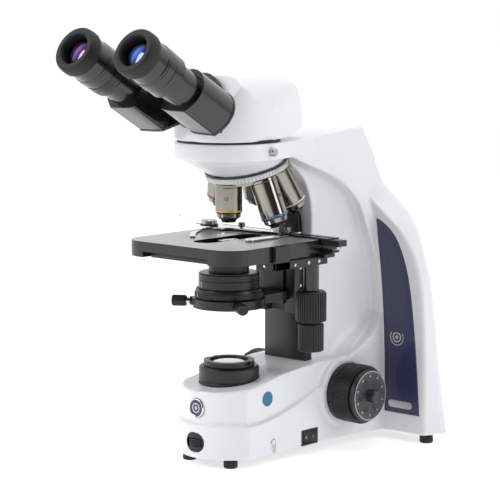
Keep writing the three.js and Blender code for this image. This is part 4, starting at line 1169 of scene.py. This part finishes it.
def objective(name, turn, length, band_finish):
    place = objective_place(turn)
    end = length - TIP_LENGTH
    barrel = lathe([
        (0, 0), (12, 0), (12, -2.2), (11.7, -2.5), (12, -2.8), (12, -end + 1.8), (11.85, -end + 1.7),
        (11.85, -end + 0.4),
        (12, -end + 0.3), (12, -end), (11.2, -end - 0.9), (10.9, -end - 1.2), (10.4, -end - 4.6),
        (0, -end - 4.6),
    ], 128)
    nose = lathe([(0, -end - 4.2), (9.6, -end - 4.2), (9.3, -end - 5.2), (6.9, -end - 6.8),
            (6.6, -end - 7.2), (6.2, -length),
                  (3.2, -length), (2.6, -length + 0.5), (0, -length + 0.5)], 96)
    band = tube(11.2, 12.05, -end + 0.5, -end + 1.65, 128)
    line = tube(11.6, 12.03, -end - 0.05, -end + 0.1, 128)
    piece(f"objective_{name}_barrel", placed(barrel, place), "nosepiece", NICKEL, [f"objective_{name}"],
            bevel=0.12)
    piece(f"objective_{name}_tip", placed(nose, place), "nosepiece", DARK_CHROME, bevel=0.1)
    piece(f"objective_{name}_band", placed(band, place), "nosepiece", band_finish, bevel=0)
    piece(f"objective_{name}_line", placed(line, place), "nosepiece", BLACK_GAP, bevel=0)
    figures = engraved(name[:-1], length, place)
    piece(f"objective_{name}_figures", figures, "nosepiece", BLACK_GAP, bevel=0)


def engraved(words, length, place):
    """Magnification figures wrapped on the outer side of the barrel."""
    flat = text_mesh(words, 4.6, 0.05)
    turn = math.radians(-60)
    for vertex in flat.vertices:
        x, y, z = vertex.co
        angle = turn + x / OBJECTIVE_RADIUS
        depth = OBJECTIVE_RADIUS + 0.02 + z
        vertex.co = (depth * math.cos(angle), depth * math.sin(angle), y - (length - TIP_LENGTH) * 0.5)
    return placed(flat, place)


def nosepiece():
    disc = lathe([(0, -4), (24, -4), (31.6, -0.9), (32.6, -0.2), (32.6, 9.1), (0, 9.1)], 160)
    seats = []
    for _, turn, _, _ in OBJECTIVES:
        seats.append(placed(rod(12.7, -20, GAP, 96), TURRET_PLACE.inverted() @ objective_place(turn)))
    grip = join(extrude(ribbed(37.5, 0.55, 72, 0.62), 3.9, 7.6), tube(33.2, 36.9, 3.7, 8.2, 160))
    grip = cut(grip, rod(32.9, -5, 12, 160))
    piece("turret_body", placed(cut(disc, *seats), TURRET_PLACE), "nosepiece", NICKEL, ["turret_disc"],
            bevel=0.25)
    piece("turret_grip", placed(grip, TURRET_PLACE), "nosepiece", ALUMINIUM, ["turret_grip_ring"],
            bevel=0.12)
    piece("turret_seal", placed(tube(33.0, 36.6, 8.1, 8.7, 160), TURRET_PLACE), "nosepiece", BLACK_GAP,
            bevel=0)
    for entry in OBJECTIVES:
        objective(*entry)


nosepiece()
piece("nosepiece_bearing", placed(tube(33.4, 37.9, 9.45, 10.6, 160), TURRET_PLACE), "stand", DARK_CHROME,
        bevel=0.2)

# ---------------------------------------------------------------- head
TUBE_INCLINE = math.radians(30)
HALF_IPD = 35
EYE_POINT = Vector((0, -152.5, 371))
HINGE_CENTRE = Vector((0, -37, 321.8))
HEAD_BOTTOM = 288
TUBE_TURN = Matrix.Rotation(math.pi / 2 - TUBE_INCLINE, 4, "X")
ON_HINGE = Matrix.Translation(HINGE_CENTRE) @ TUBE_TURN


def on_tube(side):
    """Local +Z towards the user along one tube, 0 at the eyecup face."""
    return Matrix.Translation(EYE_POINT + Vector((side * HALF_IPD, 0, 0))) @ TUBE_TURN


def head_casing():
    top = spline([(61, 302), (58, 312), (52.5, 323), (45, 334), (36, 341), (26, 345), (6, 347.5),
            (-19.5, 346.5)], 5)
    under = spline([(10, HEAD_BOTTOM + 0.6), (35, 291.5), (56, 296.5)], 4)
    side_outline = [(-46, HEAD_BOTTOM)] + under + top + [(-22.3, 345), (-47.8, 302.5), (-49, 298)]
    side = extrude(side_outline, -60, 60, "x")
    flank = spline([(47.3, 8.3), (45.5, 22), (42.5, 38), (38.5, 52), (33, 60), (24, 63)], 5)
    plan = extrude(mirrored(arc(0, 0, FLANGE_RADIUS, -90, 8, 48) + flank + [(0, 64)]), 280, 360)
    right = spline([(48, 294), (48.5, 303), (47.5, 318), (44.5, 330), (38, 339), (28, 344.5), (12, 347.3)],
            5)
    front = [(-43, 287), (43, 287)] + right + [(-x, z) for x, z in reversed(right)]
    dome = common(side, plan, extrude(front, -80, 80, "y"))
    return softened(dome, 0.9, 10)


def head():
    pin = placed(lathe([(0, -12), (5, -12), (5, 8.4), (0, 8.4)], 64), ON_HINGE)
    piece("head_shell", head_casing(), "head", WHITE_PAINT, ["head_casing"], bevel=0)
    piece("head_spigot", tube(12, 25.5, FLANGE_TOP - 5.5, HEAD_BOTTOM + 2, 128), "head", BLACK_GAP,
            bevel=0.2)
    piece("head_seal", tube(25, 45.6, FLANGE_TOP + 0.25, HEAD_BOTTOM + 1.2, 160), "head", BLACK_GAP,
            bevel=0.1)
    piece("hinge_pin", pin, "head", DARK_CHROME, bevel=0.2)
    peg = lathe([(0, 38), (2, 38), (2, 48.4), (3.4, 48.7), (3.6, 49.2), (3.6, 52.2), (3.1, 53), (0, 53)],
            64)
    piece("head_clamp", along_x(peg, CLAMP_Y, CLAMP_Z), "clamp", ALUMINIUM, ["head_clamp_screw"], bevel=0)


def prism_outline(grow):
    r = 20.5 + grow
    return arc(0, 0, r, -40, 100, 56) + spline([
        (-4, r * 0.984), (-13 - grow, 17 + grow), (-18 - grow, 11), (-19 - grow, -14),
        (-15 - grow, -19 - grow), (9, -20 - grow),
    ], 5)[4:]


def tube_half(word, side):
    body = f"tube_{word}"
    place = on_tube(side)
    flip = Matrix.Identity(4) if side > 0 else MIRROR
    shell = placed(extrude(prism_outline(0), -112, -70), place @ flip)
    piece(f"prism_box_{word}", cut(shell, placed(rod(13.2, -72, 0, 96), place)), body, TUBE_BLACK,
          [f"prism_housing_{word}"], bevel=2.2, sharp=40)
    rim = placed(extrude(prism_outline(0.6), -114, -111.4), place @ flip)
    piece(f"prism_rim_{word}", rim, body, TUBE_BLACK, bevel=0.5, sharp=40)
    neck_piece = tube(13.2, 16.2, -71, -46.3, 128)
    piece(f"tube_neck_{word}", placed(neck_piece, place), body, TUBE_BLACK, bevel=0.3)
    start = -46.6 if side > 0 else -50
    sleeve_end = -35.3 if side > 0 else -46.3
    sleeve = lathe([(13.2, start), (18.9, start), (19.3, start + 0.4), (19.3, sleeve_end - 0.4),
            (18.9, sleeve_end),
                    (13.2, sleeve_end), (13.2, start)], 128)
    piece(f"tube_sleeve_{word}", placed(sleeve, place), body, TUBE_BLACK, bevel=0)
    back = 0.9 if side > 0 else 4.3
    arm = extrude([(side * x, y) for x, y in [(0, 14), (36, -2), (40, -26), (22, -30), (0, -20)]], back,
            back + 3)
    post = block(27, 40, -28, -5, back, 12) if side > 0 else block(-40, -27, -28, -5, back, 12)
    link = cut(join(rod(25.5, back, back + 3, 128), arm, post), rod(5.3, -5, 20))
    piece(f"hinge_plate_{word}", placed(link, ON_HINGE), body, BLACK_PLASTIC, bevel=0.3)


def eyepiece(word, side):
    body = f"tube_{word}"
    place = on_tube(side)
    barrel = lathe([
        (0, -35), (19.4, -35), (19.8, -34.6), (19.8, -27.2), (19.5, -26.9), (19.5, -26.4), (19.8, -26.1),
        (19.8, -24.7),
        (19.2, -24), (19.2, -13.6), (18.8, -13.4), (13.4, -13.4), (13.4, -12.2), (11, -9), (0, -9),
    ], 160)
    piece(f"eyepiece_barrel_{word}", placed(join(barrel, rod(12.8, -58, -34, 96)), place), body, TUBE_BLACK,
          [f"eyepiece_{word}"], bevel=0)
    inner = tube(12.6, 13.3, -11.6, -11.2, 96)
    piece(f"eyepiece_inner_ring_{word}", placed(inner, place), body, DARK_CHROME, bevel=0)
    cup = lathe([(13.8, -13.1), (19.6, -13.1), (20, -12.8), (20.4, -12.0)] + spline([
        (20.9, -11), (21, -7), (20.6, -3), (19.4, -0.6), (17.5, 0), (14.9, -0.5), (13.6, -3), (13.4, -8),
        (13.8, -13.1)], 5),
        160)
    piece(f"rubber_eyecup_{word}", placed(cup, place), body, RUBBER, [f"eyecup_{word}"], bevel=0)
    dome = spline([(10.4, -7.7), (8, -7.1), (4, -6.5), (0, -6.2)], 6)
    lens = lathe([(0, -8.7), (10.4, -8.7)] + dome, 96)
    # Purple on the left, blue on the right, bright in the middle: painted reflections, one lens tinted two
    # ways as each catches the light at its own angle.
    purple, blue = (colour(10, 5, 16), colour(96, 40, 132)), (colour(6, 8, 18), colour(52, 96, 200))
    deep, painted_reflection_tint = purple if side < 0 else blue
    reflection_lens_material, mapping = glass_with_painted_reflection(f"lens_painted_reflection_{word}", deep, painted_reflection_tint, 9.5 * MM)
    middle = TO_FRAME @ place @ Vector((0, 0, -6.5))
    mapping.inputs["Location"].default_value = middle
    piece(f"eye_lens_glass_{word}", placed(lens, place), body, reflection_lens_material, [f"eye_lens_{word}"], bevel=0)


def dioptre():
    grip = join(extrude(ribbed(19.6, 0.35, 64), -44.6, -36.8), tube(16.5, 19.2, -45.9, -35.4, 160))
    grip = cut(grip, rod(16.5, -60, -20, 128))
    piece("dioptre_grip", placed(grip, on_tube(-1)), "dioptre", TUBE_BLACK, ["dioptre_ring"], bevel=0.12)


head()
for word, side in (("right", 1), ("left", -1)):
    tube_half(word, side)
    eyepiece(word, side)
dioptre()


# ---------------------------------------------------------------- room and light
FLOOR_GLOW = 0.72
FLOOR_RADIUS = 4.0
SKY_STRENGTH = 0.62
TOWARDS_VIEWER = (0.66, -0.73, 0.12)
WHITE = (1.0, 1.0, 1.0, 1.0)
DIM = (0.10, 0.10, 0.11, 1.0)
DARK = (0.05, 0.05, 0.055, 1.0)


def room():
    bm = bmesh.new()
    bmesh.ops.create_circle(bm, cap_ends=True, segments=96, radius=FLOOR_RADIUS)
    mesh = bpy.data.meshes.new("floor")
    bm.to_mesh(mesh)
    bm.free()
    floor = bpy.data.objects.new("floor", mesh)
    scene.collection.objects.link(floor)
    white = finish("floor_white", colour(190, 190, 190), 0.9, grain=60.0, variation=0.002, specular=0.0)
    shader = white.node_tree.nodes["Principled BSDF"]
    shader.inputs["Emission Color"].default_value = WHITE
    shader.inputs["Emission Strength"].default_value = FLOOR_GLOW
    mesh.materials.append(white)


def world():
    """White surroundings, darker behind the camera and more so in reflections; plain white to the camera."""
    made = bpy.data.worlds.new("studio")
    scene.world = made
    made.use_nodes = True
    tree = made.node_tree
    tree.nodes.clear()
    place = add_node(tree, "TexCoord")
    facing = add_node(tree, "VectorMath", {0: place.outputs["Generated"], 1: TOWARDS_VIEWER},
            operation="DOT_PRODUCT")
    even = add_ramp(tree, facing.outputs["Value"], (0.35, WHITE), (0.85, DIM))
    lit = add_node(tree, "Background", {"Strength": SKY_STRENGTH, "Color": even.outputs["Color"]})
    shifted = add_node(tree, "Math", {0: facing.outputs["Value"], 1: 0.25}, operation="ADD")
    contrast = add_ramp(tree, shifted.outputs["Value"], (0.0, WHITE), (0.30, DARK))
    shiny = add_node(tree, "Background", {"Color": contrast.outputs["Color"]})
    seen = add_node(tree, "Background", {"Color": WHITE})
    path = add_node(tree, "LightPath")
    reflected = add_node(tree, "MixShader", {
        "Fac": path.outputs["Is Glossy Ray"], 1: lit.outputs["Background"], 2: shiny.outputs["Background"],
    })
    final = add_node(tree, "MixShader", {
        "Fac": path.outputs["Is Camera Ray"], 1: reflected.outputs["Shader"], 2: seen.outputs["Background"],
    })
    add_node(tree, "OutputWorld", {"Surface": final.outputs["Shader"]})


def softbox(name, place, target, width, height, power):
    data = bpy.data.lights.new(name, "AREA")
    data.shape = "RECTANGLE"
    data.size = width
    data.size_y = height
    data.energy = power
    lamp = bpy.data.objects.new(name, data)
    scene.collection.objects.link(lamp)
    lamp.location = place
    lamp.rotation_euler = (Vector(target) - Vector(place)).to_track_quat("-Z", "Y").to_euler()


room()
world()
# name, place, target, width, height and power
for entry in (
    ("key_left", (-0.9, -1.6, 1.3), (0, 0, 0.2), 0.9, 1.2, 24),
    ("top", (0.2, 0.1, 1.8), (0, 0, 0.1), 1.4, 1.4, 14),
    ("side_right", (1.9, 0.5, 0.9), (0, 0.05, 0.2), 0.7, 1.4, 10),
):
    softbox(*entry)
scene.view_settings.view_transform = "Standard"
scene.view_settings.look = "None"
